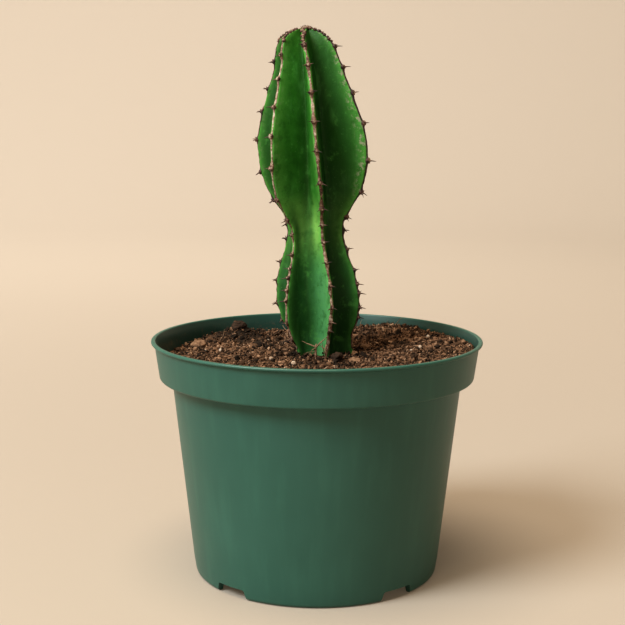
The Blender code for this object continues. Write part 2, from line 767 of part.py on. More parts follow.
def rough_chip(size, turn, tilt, generator):
    """An irregular slab with cut corners, such as a flake of bark."""
    shape = bmesh.new()
    bmesh.ops.create_cube(shape, size=1.0)
    bmesh.ops.bevel(shape, geom=shape.edges[:], offset=0.16, segments=1, affect="EDGES")
    for vert in shape.verts:
        vert.co += Vector([generator.uniform(-0.07, 0.07) for _ in range(3)])
        vert.co = Vector((vert.co.x * size[0], vert.co.y * size[1], vert.co.z * size[2]))
    bmesh.ops.triangulate(shape, faces=shape.faces)
    rotation = Matrix.Rotation(math.radians(turn), 3, "Z") @ Matrix.Rotation(math.radians(tilt), 3, "X")
    bmesh.ops.rotate(shape, verts=shape.verts, cent=(0, 0, 0), matrix=rotation)
    return shape


def seat(name, shape, place, thickness, finish, pockets):
    """Sets a loose piece part way into the mix, and adds its pocket to the pockets' shape."""
    lift = place + Vector((0, 0, thickness * (0.5 - GRAIN_SINK)))
    bmesh.ops.translate(shape, verts=shape.verts, vec=lift)
    hollow = shape.copy()
    grow(hollow, FIT_GAP * 1.6)
    holder = bpy.data.meshes.new("pocket")
    hollow.to_mesh(holder)
    hollow.free()
    pockets.from_mesh(holder)
    bpy.data.meshes.remove(holder)
    return add_object(name, shape, finish)


def make_perlite(finish, pockets):
    """The white grains."""
    for index, (degrees, share, radius) in enumerate(PERLITE):
        generator = random.Random(100 + index)
        size = [2 * radius * generator.uniform(0.85, 1.15) for _ in range(3)]
        shape = rough_pebble(size, generator.uniform(0, 90), 0.0, generator)
        name = f"perlite_{index + 1:02d}"
        seat(name, shape, loose_place(degrees, share), size[2], finish, pockets)


def make_bark(finish, pockets):
    """The pieces of bark."""
    for index, (degrees, share, *size, turn, tilt) in enumerate(BARK):
        generator = random.Random(200 + index)
        shape = rough_chip(size, turn, tilt, generator)
        name = f"bark_{index + 1}"
        seat(name, shape, loose_place(degrees, share), size[2], finish, pockets)


def stub_shape(base, lean, azimuth, height, thickness, extra, generator):
    """A tapered, slightly crooked stub that leans in towards the stem."""
    shape = bmesh.new()
    rings = []
    for share in (0.0, 0.35, 0.7, 1.0):
        rise = height * share
        shift = -outward(azimuth) * math.tan(math.radians(lean)) * rise
        shift += sideways(azimuth) * generator.uniform(-0.25, 0.25) * thickness
        radius = thickness / 2 * (1.0 - 0.55 * share) + extra
        ring = []
        for i in range(STUB_SIDES):
            angle = 2 * math.pi * i / STUB_SIDES
            level = Vector((math.cos(angle), math.sin(angle), 0.0)) * radius
            ring.append(base + shift + level + Vector((0, 0, rise)))
        rings.append(ring)
    skin_rings(shape, rings)
    return shape


def make_root_stubs(finish, pockets):
    """The dry root stubs that stand round the foot of the stem."""
    for index, (degrees, lean, height, thickness) in enumerate(ROOT_STUBS):
        azimuth = math.radians(degrees)
        top_share = height / STEM_HEIGHT
        radius = STEM_RADIUS * smooth_value(CREST_OUTLINE, top_share) + STUB_CLEARANCE
        base = stem_axis(0.0) + outward(azimuth) * radius
        base.z = mix_height(base.x, base.y) - STUB_DEPTH
        shape = stub_shape(base, lean, azimuth, height + STUB_DEPTH, thickness, 0.0,
                           random.Random(300 + index))
        low = base - Vector((0, 0, FIT_GAP))
        hollow = stub_shape(low, lean, azimuth, height + STUB_DEPTH, thickness, FIT_GAP * 1.2,
                            random.Random(300 + index))
        face_out(hollow)
        holder = bpy.data.meshes.new("pocket")
        hollow.to_mesh(holder)
        hollow.free()
        pockets.from_mesh(holder)
        bpy.data.meshes.remove(holder)
        add_object(f"root_stub_{index + 1}", shape, finish)


def main():
    """Builds every piece of the potted cactus."""
    clear_scene()
    horn = make_material("horn", HORN_BROWN, 0.6)
    make_pot(make_material("pot_plastic", POT_GREEN, 0.42))
    mix = make_mix(make_material("potting_mix", MIX_BROWN, 0.95))
    make_stem(make_material("cactus_skin", STEM_GREEN, 0.4))
    for rib in range(len(RIB_AZIMUTHS)):
        make_margin(rib, horn)
    make_crown(horn)
    pocket = stem_shape(top=0.10)
    grow(pocket, FIT_GAP * 1.3)
    cut(mix, make_cutter("stem_pocket", pocket))
    pockets = bmesh.new()
    make_perlite(make_material("perlite", PERLITE_WHITE, 0.9), pockets)
    make_bark(make_material("bark", BARK_BROWN, 0.85), pockets)
    make_root_stubs(make_material("root", ROOT_BROWN, 0.9), pockets)
    cut(mix, make_cutter("mix_pockets", pockets))


main()
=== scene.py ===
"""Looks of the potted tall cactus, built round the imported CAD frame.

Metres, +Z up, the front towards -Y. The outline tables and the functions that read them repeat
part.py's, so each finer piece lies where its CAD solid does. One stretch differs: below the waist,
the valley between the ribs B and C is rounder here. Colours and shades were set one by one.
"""

import math

import bmesh
import bpy
import numpy as np
from mathutils import Matrix, Vector


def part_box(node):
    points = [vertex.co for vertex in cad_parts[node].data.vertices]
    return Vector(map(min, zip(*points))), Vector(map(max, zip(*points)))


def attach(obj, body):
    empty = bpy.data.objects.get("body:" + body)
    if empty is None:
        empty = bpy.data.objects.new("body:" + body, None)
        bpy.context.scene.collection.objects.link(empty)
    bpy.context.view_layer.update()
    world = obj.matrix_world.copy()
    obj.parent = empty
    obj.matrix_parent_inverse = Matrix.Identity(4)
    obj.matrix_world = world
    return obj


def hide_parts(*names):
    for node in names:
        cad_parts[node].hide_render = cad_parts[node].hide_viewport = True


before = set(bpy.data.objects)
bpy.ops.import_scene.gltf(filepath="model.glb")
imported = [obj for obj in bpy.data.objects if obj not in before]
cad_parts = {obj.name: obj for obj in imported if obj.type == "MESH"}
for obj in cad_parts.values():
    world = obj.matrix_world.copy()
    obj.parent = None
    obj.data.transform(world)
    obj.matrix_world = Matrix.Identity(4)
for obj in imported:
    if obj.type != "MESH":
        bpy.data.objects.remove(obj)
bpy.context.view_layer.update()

MM = 0.001
BODY = "root"
# The ribs are numbered from A at 0. A to D show from the front, from the left; E and F are behind.
RIB_B, RIB_C, RIB_D = 1, 2, 3

# Sizes that part.py drives the model by.
POT_HEIGHT = 118.2 * MM
LIP_RADIUS = 82.5 * MM
LIP_HEIGHT = 1.5 * MM
LIP_OVERHANG = 1.4 * MM
LIP_WIDTH = 2.2 * MM
BAND_HEIGHT = 19.0 * MM
BAND_DRAFT = 2.5 * MM
STEP_WIDTH = 6.3 * MM
WALL_DRAFT = 10.9 * MM
WALL = 1.2 * MM
STEP_SLOPE = 1.2 * MM
FOOT_CORNER = 2.2 * MM
FOOT_WIDTH = 3.4 * MM
FLOOR_RISE = 5.0 * MM
FLOOR_THICKNESS = 1.6 * MM
NOTCH_AZIMUTHS = (-41.5, 39.5, 138.5, -140.5)
NOTCH_WIDTH = 20.5 * MM
NOTCH_TOP_WIDTH = 16.5 * MM
SLOT_LENGTH = 13.0 * MM
SLOT_WIDTH = 3.6 * MM
SLOT_INSET = 1.6 * MM
FIT_GAP = 0.35 * MM
MIX_DROP = 9.0 * MM
MIX_ROUGHNESS = 0.75 * MM
MIX_BUMP_SPACING = 9.0 * MM
MOUNDS = (
    (0.88, 0.06, 24.0 * MM, 30.0 * MM, 5.4 * MM),
    (0.53, 0.73, 18.0 * MM, 18.0 * MM, 4.8 * MM),
    (-0.53, 0.62, 10.0 * MM, 9.0 * MM, 4.6 * MM),
    (-0.95, 0.12, 18.0 * MM, 24.0 * MM, -2.6 * MM),
    (0.04, 0.00, 20.0 * MM, 16.0 * MM, 1.5 * MM),
)
STEM_HEIGHT = 158.5 * MM
STEM_RADIUS = 27.0 * MM
COLLAR_DROP = 7.2 * MM
CREST_WIDTH = 1.9 * MM
CREST_OUTLINE = (
    (-0.150, 0.20), (-0.065, 0.38), (0.000, 0.455), (0.060, 0.560), (0.115, 0.700),
    (0.175, 0.757), (0.245, 0.710), (0.320, 0.575), (0.380, 0.500), (0.415, 0.512),
    (0.460, 0.660), (0.525, 0.880), (0.600, 0.985), (0.645, 1.000), (0.710, 0.945),
    (0.790, 0.800), (0.890, 0.600), (0.945, 0.485), (0.968, 0.400), (0.984, 0.285),
    (0.995, 0.155), (1.000, 0.075),
)
VALLEY_OUTLINE = (
    (-0.150, 0.19), (-0.065, 0.34), (0.000, 0.375), (0.090, 0.415), (0.180, 0.435),
    (0.300, 0.385), (0.400, 0.350), (0.500, 0.370), (0.640, 0.375), (0.760, 0.350),
    (0.880, 0.290), (0.945, 0.215), (0.975, 0.140), (1.000, 0.050),
)
AXIS_LEAN = (
    (-0.150, 3.2 * MM), (0.000, 2.9 * MM), (0.120, 1.3 * MM), (0.220, 0.2 * MM),
    (0.400, -1.0 * MM), (0.600, -1.9 * MM), (0.800, -3.4 * MM), (1.000, -5.8 * MM),
)
RIB_AZIMUTHS = (
    ((0.00, -84.0), (0.30, -89.0), (0.60, -91.0), (1.00, -88.0)),
    ((0.00, -56.0), (0.18, -51.0), (0.38, -54.0), (0.48, -53.0), (0.65, -47.0), (1.00, -57.0)),
    ((0.00, 9.0), (0.17, 18.0), (0.40, 13.0), (0.60, 4.0), (0.88, -1.0), (1.00, -14.0)),
    ((0.00, 68.0), (0.15, 66.0), (0.38, 70.0), (0.60, 61.5), (0.80, 60.0), (1.00, 67.0)),
    ((0.00, 132.0), (0.40, 142.0), (1.00, 136.0)),
    ((0.00, 203.0), (0.40, 209.0), (1.00, 206.0)),
)
RIB_REACH = (
    ((0.88, 1.00), (0.96, 1.17), (1.00, 1.30)),
    ((0.90, 1.00), (0.97, 1.20), (1.00, 1.35)),
    ((0.00, 1.00), (1.00, 1.00)),
    ((0.00, 1.03), (0.15, 1.05), (0.38, 1.045), (0.60, 1.085), (0.80, 1.075), (1.00, 1.03)),
    ((0.00, 1.00), (1.00, 1.00)),
    ((0.00, 1.00), (1.00, 1.00)),
)
RIB_SAG = (0.000, 0.042, 0.000, 0.004, 0.020, 0.012)
RIB_FLARE = (0.6 * MM, 0.0 * MM, 0.8 * MM, 3.2 * MM, 1.2 * MM, 0.4 * MM)
FLARE_REACH = 0.060
VALLEY_FILL = ((0.42, 0.40), (-0.34, 0.00), (0.00, 0.00), (0.08, 0.02), (0.15, 0.05), (0.10, 0.00))
VALLEY_TURN = (
    ((0.00, 0.50), (1.00, 0.50)),
    ((0.00, 0.30), (0.22, 0.26), (0.40, 0.42), (0.55, 0.60), (0.85, 0.62), (1.00, 0.50)),
    ((0.00, 0.46), (0.22, 0.42), (0.40, 0.48), (0.60, 0.44), (0.85, 0.36), (1.00, 0.50)),
    ((0.00, 0.50), (1.00, 0.50)),
    ((0.00, 0.50), (1.00, 0.50)),
    ((0.00, 0.50), (1.00, 0.50)),
)
CUSHION_SHARES = (
    (0.103, 0.155, 0.228, 0.286, 0.357, 0.403, 0.480, 0.565, 0.664, 0.750, 0.818, 0.900),
    (0.050, 0.104, 0.172, 0.206, 0.242, 0.270, 0.312, 0.372, 0.420, 0.485, 0.581, 0.676, 0.761,
     0.845, 0.917),
    (0.086, 0.114, 0.158, 0.224, 0.292, 0.353, 0.408, 0.462, 0.539, 0.634, 0.720, 0.806, 0.886,
     0.945),
    (0.120, 0.149, 0.194, 0.223, 0.265, 0.329, 0.388, 0.431, 0.509, 0.604, 0.715, 0.806, 0.883,
     0.945),
    (0.095, 0.142, 0.205, 0.262, 0.322, 0.371, 0.415, 0.478, 0.560, 0.652, 0.741, 0.823, 0.902),
    (0.070, 0.118, 0.168, 0.231, 0.288, 0.349, 0.399, 0.452, 0.533, 0.618, 0.706, 0.796, 0.878,
     0.939),
)

BAND_BOTTOM = POT_HEIGHT - BAND_HEIGHT
BAND_TOP_RADIUS = LIP_RADIUS - LIP_OVERHANG
BAND_BOTTOM_RADIUS = BAND_TOP_RADIUS - BAND_DRAFT
WALL_TOP_RADIUS = BAND_BOTTOM_RADIUS - STEP_WIDTH
FOOT_RADIUS = WALL_TOP_RADIUS - WALL_DRAFT
FLOOR_TOP = FLOOR_RISE + FLOOR_THICKNESS
LEDGE_HEIGHT = BAND_BOTTOM + WALL
COLLAR_HEIGHT = POT_HEIGHT - COLLAR_DROP
MIX_HEIGHT = POT_HEIGHT - MIX_DROP


# Reading the outlines


def smooth_value(points, place):
    """Reads a smooth curve through (place, value) points, which never overshoots them."""
    if place <= points[0][0]:
        return points[0][1]
    if place >= points[-1][0]:
        return points[-1][1]
    steps = [b[0] - a[0] for a, b in zip(points, points[1:])]
    rises = [(b[1] - a[1]) / step for a, b, step in zip(points, points[1:], steps)]
    slopes = [rises[0]]
    for before, after in zip(rises, rises[1:]):
        level = before * after <= 0.0
        slopes.append(0.0 if level else 2.0 * before * after / (before + after))
    slopes.append(rises[-1])
    index = max(i for i, point in enumerate(points[:-1]) if point[0] <= place)
    step = steps[index]
    t = (place - points[index][0]) / step
    from_start = points[index][1] * (1 + 2 * t) * (1 - t) ** 2
    from_end = points[index + 1][1] * t * t * (3 - 2 * t)
    start_slope = slopes[index] * step * t * (1 - t) ** 2
    end_slope = slopes[index + 1] * step * t * t * (t - 1)
    return from_start + from_end + start_slope + end_slope


def straight_value(start, end, place):
    """Reads the straight line between two (place, value) points."""
    return start[1] + (end[1] - start[1]) * (place - start[0]) / (end[0] - start[0])


def outward(azimuth):
    """The level direction that points out at an azimuth in radians."""
    return Vector((math.sin(azimuth), -math.cos(azimuth), 0.0))


def sideways(azimuth):
    """The level direction of growing azimuth."""
    return Vector((math.cos(azimuth), math.sin(azimuth), 0.0))


def outer_wall_radius(height):
    """The pot wall's outer radius below the rim band."""
    return straight_value((0.0, FOOT_RADIUS), (BAND_BOTTOM, WALL_TOP_RADIUS), height)


def outer_band_radius(height):
    """The rim band's outer radius."""
    bottom = (BAND_BOTTOM, BAND_BOTTOM_RADIUS)
    return straight_value(bottom, (POT_HEIGHT, BAND_TOP_RADIUS), height)


def inner_band_radius(height):
    """The inside of the rim band, less the fit gap, which is where the mix ends."""
    return outer_band_radius(height) - WALL - FIT_GAP


# The radius of the mix's top.
MOUTH = inner_band_radius(MIX_HEIGHT)


def bumps(x, y):
    """The mix's small unevenness, between -1 and 1."""
    turn = 2 * math.pi / MIX_BUMP_SPACING
    one = np.sin(turn * (0.83 * x + 0.41 * y) + 0.7)
    two = np.sin(turn * (-0.47 * x + 0.71 * y) + 2.1)
    three = np.sin(turn * (0.22 * x - 1.13 * y) + 4.0)
    return (one + two + three) / 3


def mix_height(x, y):
    """The top of the mix at a place in the pot."""
    height = MIX_HEIGHT + MIX_ROUGHNESS * bumps(x, y)
    for across, along, spread_x, spread_y, rise in MOUNDS:
        from_x = (x - across * MOUTH) / spread_x
        from_y = (y - along * MOUTH) / spread_y
        height = height + rise * np.exp(-(from_x**2 + from_y**2) / 2)
    return height


def rib_azimuth(rib, share):
    """A rib's azimuth in radians, at a share of the stem's height."""
    return math.radians(smooth_value(RIB_AZIMUTHS[rib], share))


def crest_radius(rib, share):
    """A rib's crest radius. The swellings of a sagging rib sit lower."""
    sag = RIB_SAG[rib] * min(1.0, max(0.0, (0.75 - share) / 0.55))
    flare = RIB_FLARE[rib] * max(0.0, 1 - abs(share) / FLARE_REACH)
    reach = STEM_RADIUS * smooth_value(RIB_REACH[rib], share)
    return reach * smooth_value(CREST_OUTLINE, share + sag) + flare


def valley_radius(rib, share):
    """The radius of the valley between a rib and the next one."""
    deep = STEM_RADIUS * smooth_value(VALLEY_OUTLINE, share)
    neighbour = (rib + 1) % len(RIB_AZIMUTHS)
    full = (crest_radius(rib, share) + crest_radius(neighbour, share)) / 2
    at_foot, at_top = VALLEY_FILL[rib]
    fill = smooth_value(((0.25, at_foot), (0.55, at_top)), share)
    return min(deep + (full - deep) * fill, 0.97 * full)


def stem_axis(share):
    """The stem's middle at a share of its height."""
    return Vector((smooth_value(AXIS_LEAN, share), 0.0, COLLAR_HEIGHT + STEM_HEIGHT * share))


def crest_half_width(rib, share):
    """Half the flat on a crest, which narrows where the ribs meet at the apex."""
    return min(CREST_WIDTH / 2, 0.28 * crest_radius(rib, share))


# Noise and meshes


def lattice(x, y, z, seed):
    """A repeatable random value between 0 and 1 for each whole-number place."""
    value = (x * 374761393 + y * 668265263 + z * 2147483647 + seed * 974634777) & 0xFFFFFFFF
    value = ((value ^ (value >> 13)) * 1274126177) & 0xFFFFFFFF
    return ((value ^ (value >> 16)) & 0xFFFFFFFF) / 0xFFFFFFFF


def noise(points, size, seed):
    """Smooth noise between -1 and 1 at each point, with lumps of about one size."""
    cell = np.asarray(points, float) / size
    low = np.floor(cell).astype(np.int64)
    part = cell - low
    part = part * part * (3 - 2 * part)
    total = np.zeros(len(cell))
    for dx in (0, 1):
        for dy in (0, 1):
            for dz in (0, 1):
                weight = np.prod(np.where((dx, dy, dz), part, 1 - part), axis=1)
                corner = low + (dx, dy, dz)
                total += weight * lattice(corner[:, 0], corner[:, 1], corner[:, 2], seed)
    return total * 2 - 1


def random_noise(points, size, seed, generator):
    """Noise taken at a random place."""
    return noise(points + generator.uniform(0, 50, 3), size, seed)


def fractal(points, size, seed, octaves=3):
    """Noise with finer noise on it."""
    total = np.zeros(len(points))
    for octave in range(octaves):
        total += noise(points, size / 2**octave, seed + octave) / 2**octave
    return total / (2 - 2 ** (1 - octaves))


def unit(vectors):
    """Vectors brought to a length of 1."""
    return vectors / np.linalg.norm(vectors, axis=-1, keepdims=True)


def signed_volume(points, faces):
    """Six times the volume that the triangles or quads close in."""
    total = 0.0
    for first, second in ((1, 2), (2, 3))[: faces.shape[1] - 2]:
        a, b, c = points[faces[:, 0]], points[faces[:, first]], points[faces[:, second]]
        total += np.einsum("ij,ij->", a, np.cross(b, c))
    return total


def ring_faces(rings, count, start=0):
    """Quads between rings of points, and the triangles of a fan over each end."""
    i = np.arange(count)
    j = (i + 1) % count
    quads = []
    for ring in range(rings - 1):
        low, high = start + ring * count, start + (ring + 1) * count
        quads.append(np.stack([low + i, low + j, high + j, high + i], 1))
    bottom, top = start + rings * count, start + rings * count + 1
    last = start + (rings - 1) * count
    fans = [np.stack([start + j, start + i, np.full(count, bottom)], 1)]
    fans.append(np.stack([last + i, last + j, np.full(count, top)], 1))
    return np.concatenate(quads), np.concatenate(fans)


class Shape:
    """Points, faces and per-point values of a piece, put together from parts."""

    def __init__(self):
        self.points, self.faces, self.values, self.count = [], [], [], 0

    def add(self, points, faces, values=None):
        """Adds a closed part. Its faces count its own points from 0."""
        points = np.asarray(points, float)
        self.points.append(points)
        self.faces += [(np.asarray(f) + self.count).tolist() for f in faces if len(f)]
        self.values.append({} if values is None else values)
        self.count += len(points)

    def add_rings(self, rings, values=None):
        """Adds a closed skin through rings of points, an array of rings x points x 3."""
        rings = np.asarray(rings, float)
        ends = np.stack([rings[0].mean(0), rings[-1].mean(0)])
        points = np.concatenate([rings.reshape(-1, 3), ends])
        quads, fans = ring_faces(len(rings), rings.shape[1])
        if signed_volume(points, quads) + signed_volume(points, fans) < 0:
            quads, fans = quads[:, ::-1], fans[:, ::-1]
        if values is not None:
            values = {
                key: np.concatenate([np.ravel(v), [np.mean(v[0]), np.mean(v[-1])]])
                for key, v in values.items()
            }
        self.add(points, (quads, fans), values)

    def make(self, name, finish, replaced=(), sharp_above=None):
        """Makes the piece, which rides on the body."""
        mesh = bpy.data.meshes.new(name)
        faces = [face for group in self.faces for face in group]
        points = np.concatenate(self.points)
        mesh.from_pydata(points.tolist(), [], faces)
        for key in sorted({key for values in self.values for key in values}):
            layer = mesh.attributes.new(key, "FLOAT", "POINT")
            parts = [v.get(key, np.zeros(len(p))) for v, p in zip(self.values, self.points)]
            layer.data.foreach_set("value", np.concatenate(parts).astype(np.float32))
        return place_piece(name, mesh, finish, replaced, sharp_above)


def put(name, data):
    """Puts an object with this data in the scene."""
    item = bpy.data.objects.new(name, data)
    bpy.context.scene.collection.objects.link(item)
    return item


def as_mesh(name, shape):
    """Turns a bmesh into a mesh, and frees it."""
    mesh = bpy.data.meshes.new(name)
    shape.to_mesh(mesh)
    shape.free()
    return mesh


def settled(body, *helpers):
    """The mesh of an object with its modifiers. The object and its helpers are removed."""
    graph = bpy.context.evaluated_depsgraph_get()
    mesh = bpy.data.meshes.new_from_object(body.evaluated_get(graph))
    for item in (body, *helpers):
        bpy.data.objects.remove(item, do_unlink=True)
    return mesh


def place_piece(name, mesh, finish, replaced=(), sharp_above=None):
    """Makes a mesh a piece that rides on the body. Edges over sharp_above degrees stay sharp."""
    mesh.materials.clear()
    mesh.materials.append(finish)
    if sharp_above is None:
        mesh.shade_smooth()
    elif sharp_above > 0:
        mesh.shade_smooth()
        mesh.set_sharp_from_angle(angle=math.radians(sharp_above))
    else:
        mesh.shade_flat()
    piece = put(name, mesh)
    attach(piece, BODY)
    if replaced:
        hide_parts(*replaced)
    return piece


def ball(level):
    """Points and triangles of a unit ball."""
    shape = bmesh.new()
    bmesh.ops.create_icosphere(shape, subdivisions=level, radius=1.0)
    points = np.array([v.co[:] for v in shape.verts])
    faces = np.array([[v.index for v in f.verts] for f in shape.faces])
    shape.free()
    return points, faces


def random_turns(count, generator):
    """Random rotation matrices."""
    q = generator.normal(size=(count, 4))
    w, x, y, z = unit(q).T
    rows = [
        [1 - 2 * (y * y + z * z), 2 * (x * y - w * z), 2 * (x * z + w * y)],
        [2 * (x * y + w * z), 1 - 2 * (x * x + z * z), 2 * (y * z - w * x)],
        [2 * (x * z - w * y), 2 * (y * z + w * x), 1 - 2 * (x * x + y * y)],
    ]
    return np.moveaxis(np.array(rows), 2, 0)


def tube(shape, path, radii, sides, values=None):
    """Adds a tapered tube along a path of points."""
    path = np.asarray(path, float)
    along = unit(np.gradient(path, axis=0))
    helper = np.array([0.0, 0.0, 1.0]) if abs(along[0][2]) < 0.8 else np.array([1.0, 0.0, 0.0])
    across = unit(np.cross(along, helper))
    up = np.cross(across, along)
    angles = 2 * math.pi * np.arange(sides) / sides
    level = np.cos(angles)[None, :, None] * across[:, None, :]
    rise = np.sin(angles)[None, :, None] * up[:, None, :]
    rings = path[:, None, :] + (level + rise) * np.asarray(radii)[:, None, None]
    if values is not None:
        values = {key: np.repeat(np.asarray(v)[:, None], sides, 1) for key, v in values.items()}
    shape.add_rings(rings, values)


# Node materials

# The paper sweep: the floor's reach, the curve's radius, and the wall's top.
FLOOR_REACH, CURVE_RADIUS, WALL_TOP = 1.90, 1.35, 1.90
# How far from the pot the paper's shade goes on changing.
PAPER_SHADE_REACH = 3.2


class Finish:
    """A node material while it is put together."""

    def __init__(self, name):
        self.material = bpy.data.materials.new(name)
        self.material.use_nodes = True
        self.tree = self.material.node_tree
        self.shader = self.tree.nodes["Principled BSDF"]
        self.place = self.node("ShaderNodeTexCoord").outputs["Object"]

    def feed(self, socket, value):
        """Links a socket to an input, or sets it."""
        if isinstance(value, bpy.types.NodeSocket):
            self.tree.links.new(value, socket)
        else:
            socket.default_value = value

    def node(self, kind, inputs=None, **settings):
        """Adds a node."""
        item = self.tree.nodes.new(kind)
        for key, value in settings.items():
            setattr(item, key, value)
        for key, value in (inputs or {}).items():
            self.feed(item.inputs[key], value)
        return item

    def set(self, **inputs):
        """Sets the shader's sockets, an underscore for a space, and returns the material."""
        for key, value in inputs.items():
            self.feed(self.shader.inputs[key.replace("_", " ")], value)
        return self.material

    def stretched(self, scale):
        """Places scaled differently along each axis."""
        return self.node("ShaderNodeMapping", {"Vector": self.place, "Scale": scale}).outputs[0]

    def noise(self, size, detail=3.0, rough=0.55, place=None):
        """Noise with lumps of about one size, from 0 to 1."""
        inputs = {"Vector": place or self.place, "Scale": 1.0 / size}
        inputs.update({"Detail": detail, "Roughness": rough})
        return self.node("ShaderNodeTexNoise", inputs).outputs["Fac"]

    def cells(self, size):
        """Distance to the nearest of scattered points, in cells of about one size."""
        inputs = {"Vector": self.place, "Scale": 1.0 / size}
        return self.node("ShaderNodeTexVoronoi", inputs).outputs["Distance"]

    def span(self, value, low, high, to_low=0.0, to_high=1.0):
        """Maps a value between two limits onto two others, and clamps it."""
        inputs = {"Value": value, "From Min": low, "From Max": high}
        inputs.update({"To Min": to_low, "To Max": to_high})
        return self.node("ShaderNodeMapRange", inputs, interpolation_type="SMOOTHSTEP").outputs[0]

    def ramp(self, value, stops):
        """A colour for each value, from (place, colour) stops."""
        item = self.node("ShaderNodeValToRGB", {"Fac": value})
        elements = item.color_ramp.elements
        while len(elements) > 1:
            elements.remove(elements[-1])
        elements[0].position, elements[0].color = stops[0][0], (*stops[0][1], 1.0)
        for position, colour in stops[1:]:
            elements.new(position).color = (*colour, 1.0)
        return item.outputs["Color"]

    def blend(self, share, first, second):
        """Mixes two colours."""
        item = self.node("ShaderNodeMix", data_type="RGBA")
        for index, value in ((0, share), (6, first), (7, second)):
            if isinstance(value, tuple) and len(value) == 3:
                value = (*value, 1.0)
            self.feed(item.inputs[index], value)
        return item.outputs[2]

    def step(self, operation, first, second=0.0):
        """One step of arithmetic."""
        item = self.node("ShaderNodeMath", operation=operation)
        self.feed(item.inputs[0], first)
        self.feed(item.inputs[1], second)
        return item.outputs[0]

    def plus(self, first, second):
        """The first value and the second."""
        return self.step("ADD", first, second)

    def minus(self, first, second):
        """The first value less the second."""
        return self.step("SUBTRACT", first, second)

    def times(self, first, second):
        """The first value times the second."""
        return self.step("MULTIPLY", first, second)

    def varied(self, value, pattern, middle, amount):
        """A value with a pattern's swings about its middle, by an amount, added."""
        return self.plus(value, self.times(self.minus(pattern, middle), amount))

    def attribute(self, name):
        """A value that the mesh carries at its points."""
        return self.node("ShaderNodeAttribute", attribute_name=name).outputs["Fac"]

    def axis(self, name):
        """One coordinate of the place: X, Y or Z."""
        return self.node("ShaderNodeSeparateXYZ", {"Vector": self.place}).outputs[name]

    def bump(self, height, depth, strength=1.0, under=None):
        """A bump of a depth in metres, on top of another one."""
        inputs = {"Height": height, "Distance": depth, "Strength": strength}
        if under is not None:
            inputs["Normal"] = under
        return self.node("ShaderNodeBump", inputs).outputs["Normal"]


def plastic_finish():
    """Moulded green plastic: satin, a little mottled, with painted shade inside, and dust from the mix."""
    f = Finish("pot_plastic")
    cloud = f.noise(0.045, 3.0)
    flow = f.noise(0.006, 3.0, place=f.stretched((1.0, 1.0, 0.10)))
    base = f.ramp(cloud, ((0.3, (0.025, 0.090, 0.068)), (0.7, (0.031, 0.104, 0.079))))
    base = f.blend(f.span(flow, 0.45, 0.75, 0.0, 0.20), base, (0.050, 0.155, 0.112))
    square = f.plus(f.times(f.axis("X"), f.axis("X")), f.times(f.axis("Y"), f.axis("Y")))
    slope = BAND_DRAFT / BAND_HEIGHT
    band_face = BAND_BOTTOM_RADIUS - slope * BAND_BOTTOM
    inward = f.minus(f.step("SQRT", square), f.times(f.axis("Z"), slope))
    inside = f.span(inward, band_face - 0.5 * MM, band_face - 0.9 * MM)
    inside = f.times(inside, f.span(f.axis("Z"), BAND_BOTTOM, BAND_BOTTOM + 1.0 * MM))
    # Painted shade: the inside of the pot is drawn darker.
    base = f.blend(f.times(inside, 0.68), base, (0.010, 0.036, 0.032))
    low = f.span(f.axis("Z"), POT_HEIGHT - 1.0 * MM, POT_HEIGHT - 10.0 * MM)
    specks = f.span(f.noise(0.0022, 4.0, 0.7), 0.52, 0.66)
    dust = f.times(inside, f.times(low, specks))
    base = f.blend(f.times(dust, 0.45), base, (0.16, 0.11, 0.07))
    rough = f.minus(f.span(cloud, 0.2, 0.8, 0.36, 0.46), f.times(inside, 0.06))
    f.set(Base_Color=base, Roughness=rough, Specular_IOR_Level=0.38)
    grain = f.bump(f.noise(0.0011, 3.0, 0.6), 0.00002, 0.6)
    return f.set(Normal=f.bump(f.noise(0.03, 2.0), 0.0004, 0.35, grain))


def mix_finish():
    """Damp growing mix: dark peat, brown bark fines and pale dry bits."""
    f = Finish("potting_mix")
    grain = f.noise(0.0007, 4.0, 0.65)
    mixed = f.varied(f.attribute("tone"), f.noise(0.011, 5.0, 0.6), 0.56, 0.95)
    mixed = f.varied(mixed, grain, 0.5, 0.55)
    base = f.ramp(mixed, (
        (0.10, (0.014, 0.008, 0.004)),
        (0.32, (0.062, 0.033, 0.017)),
        (0.52, (0.170, 0.094, 0.053)),
        (0.74, (0.300, 0.188, 0.118)),
        (1.00, (0.420, 0.310, 0.225)),
    ))
    f.set(Base_Color=base, Roughness=0.92, Specular_IOR_Level=0.25)
    return f.set(Normal=f.bump(grain, 0.0004, 0.9))


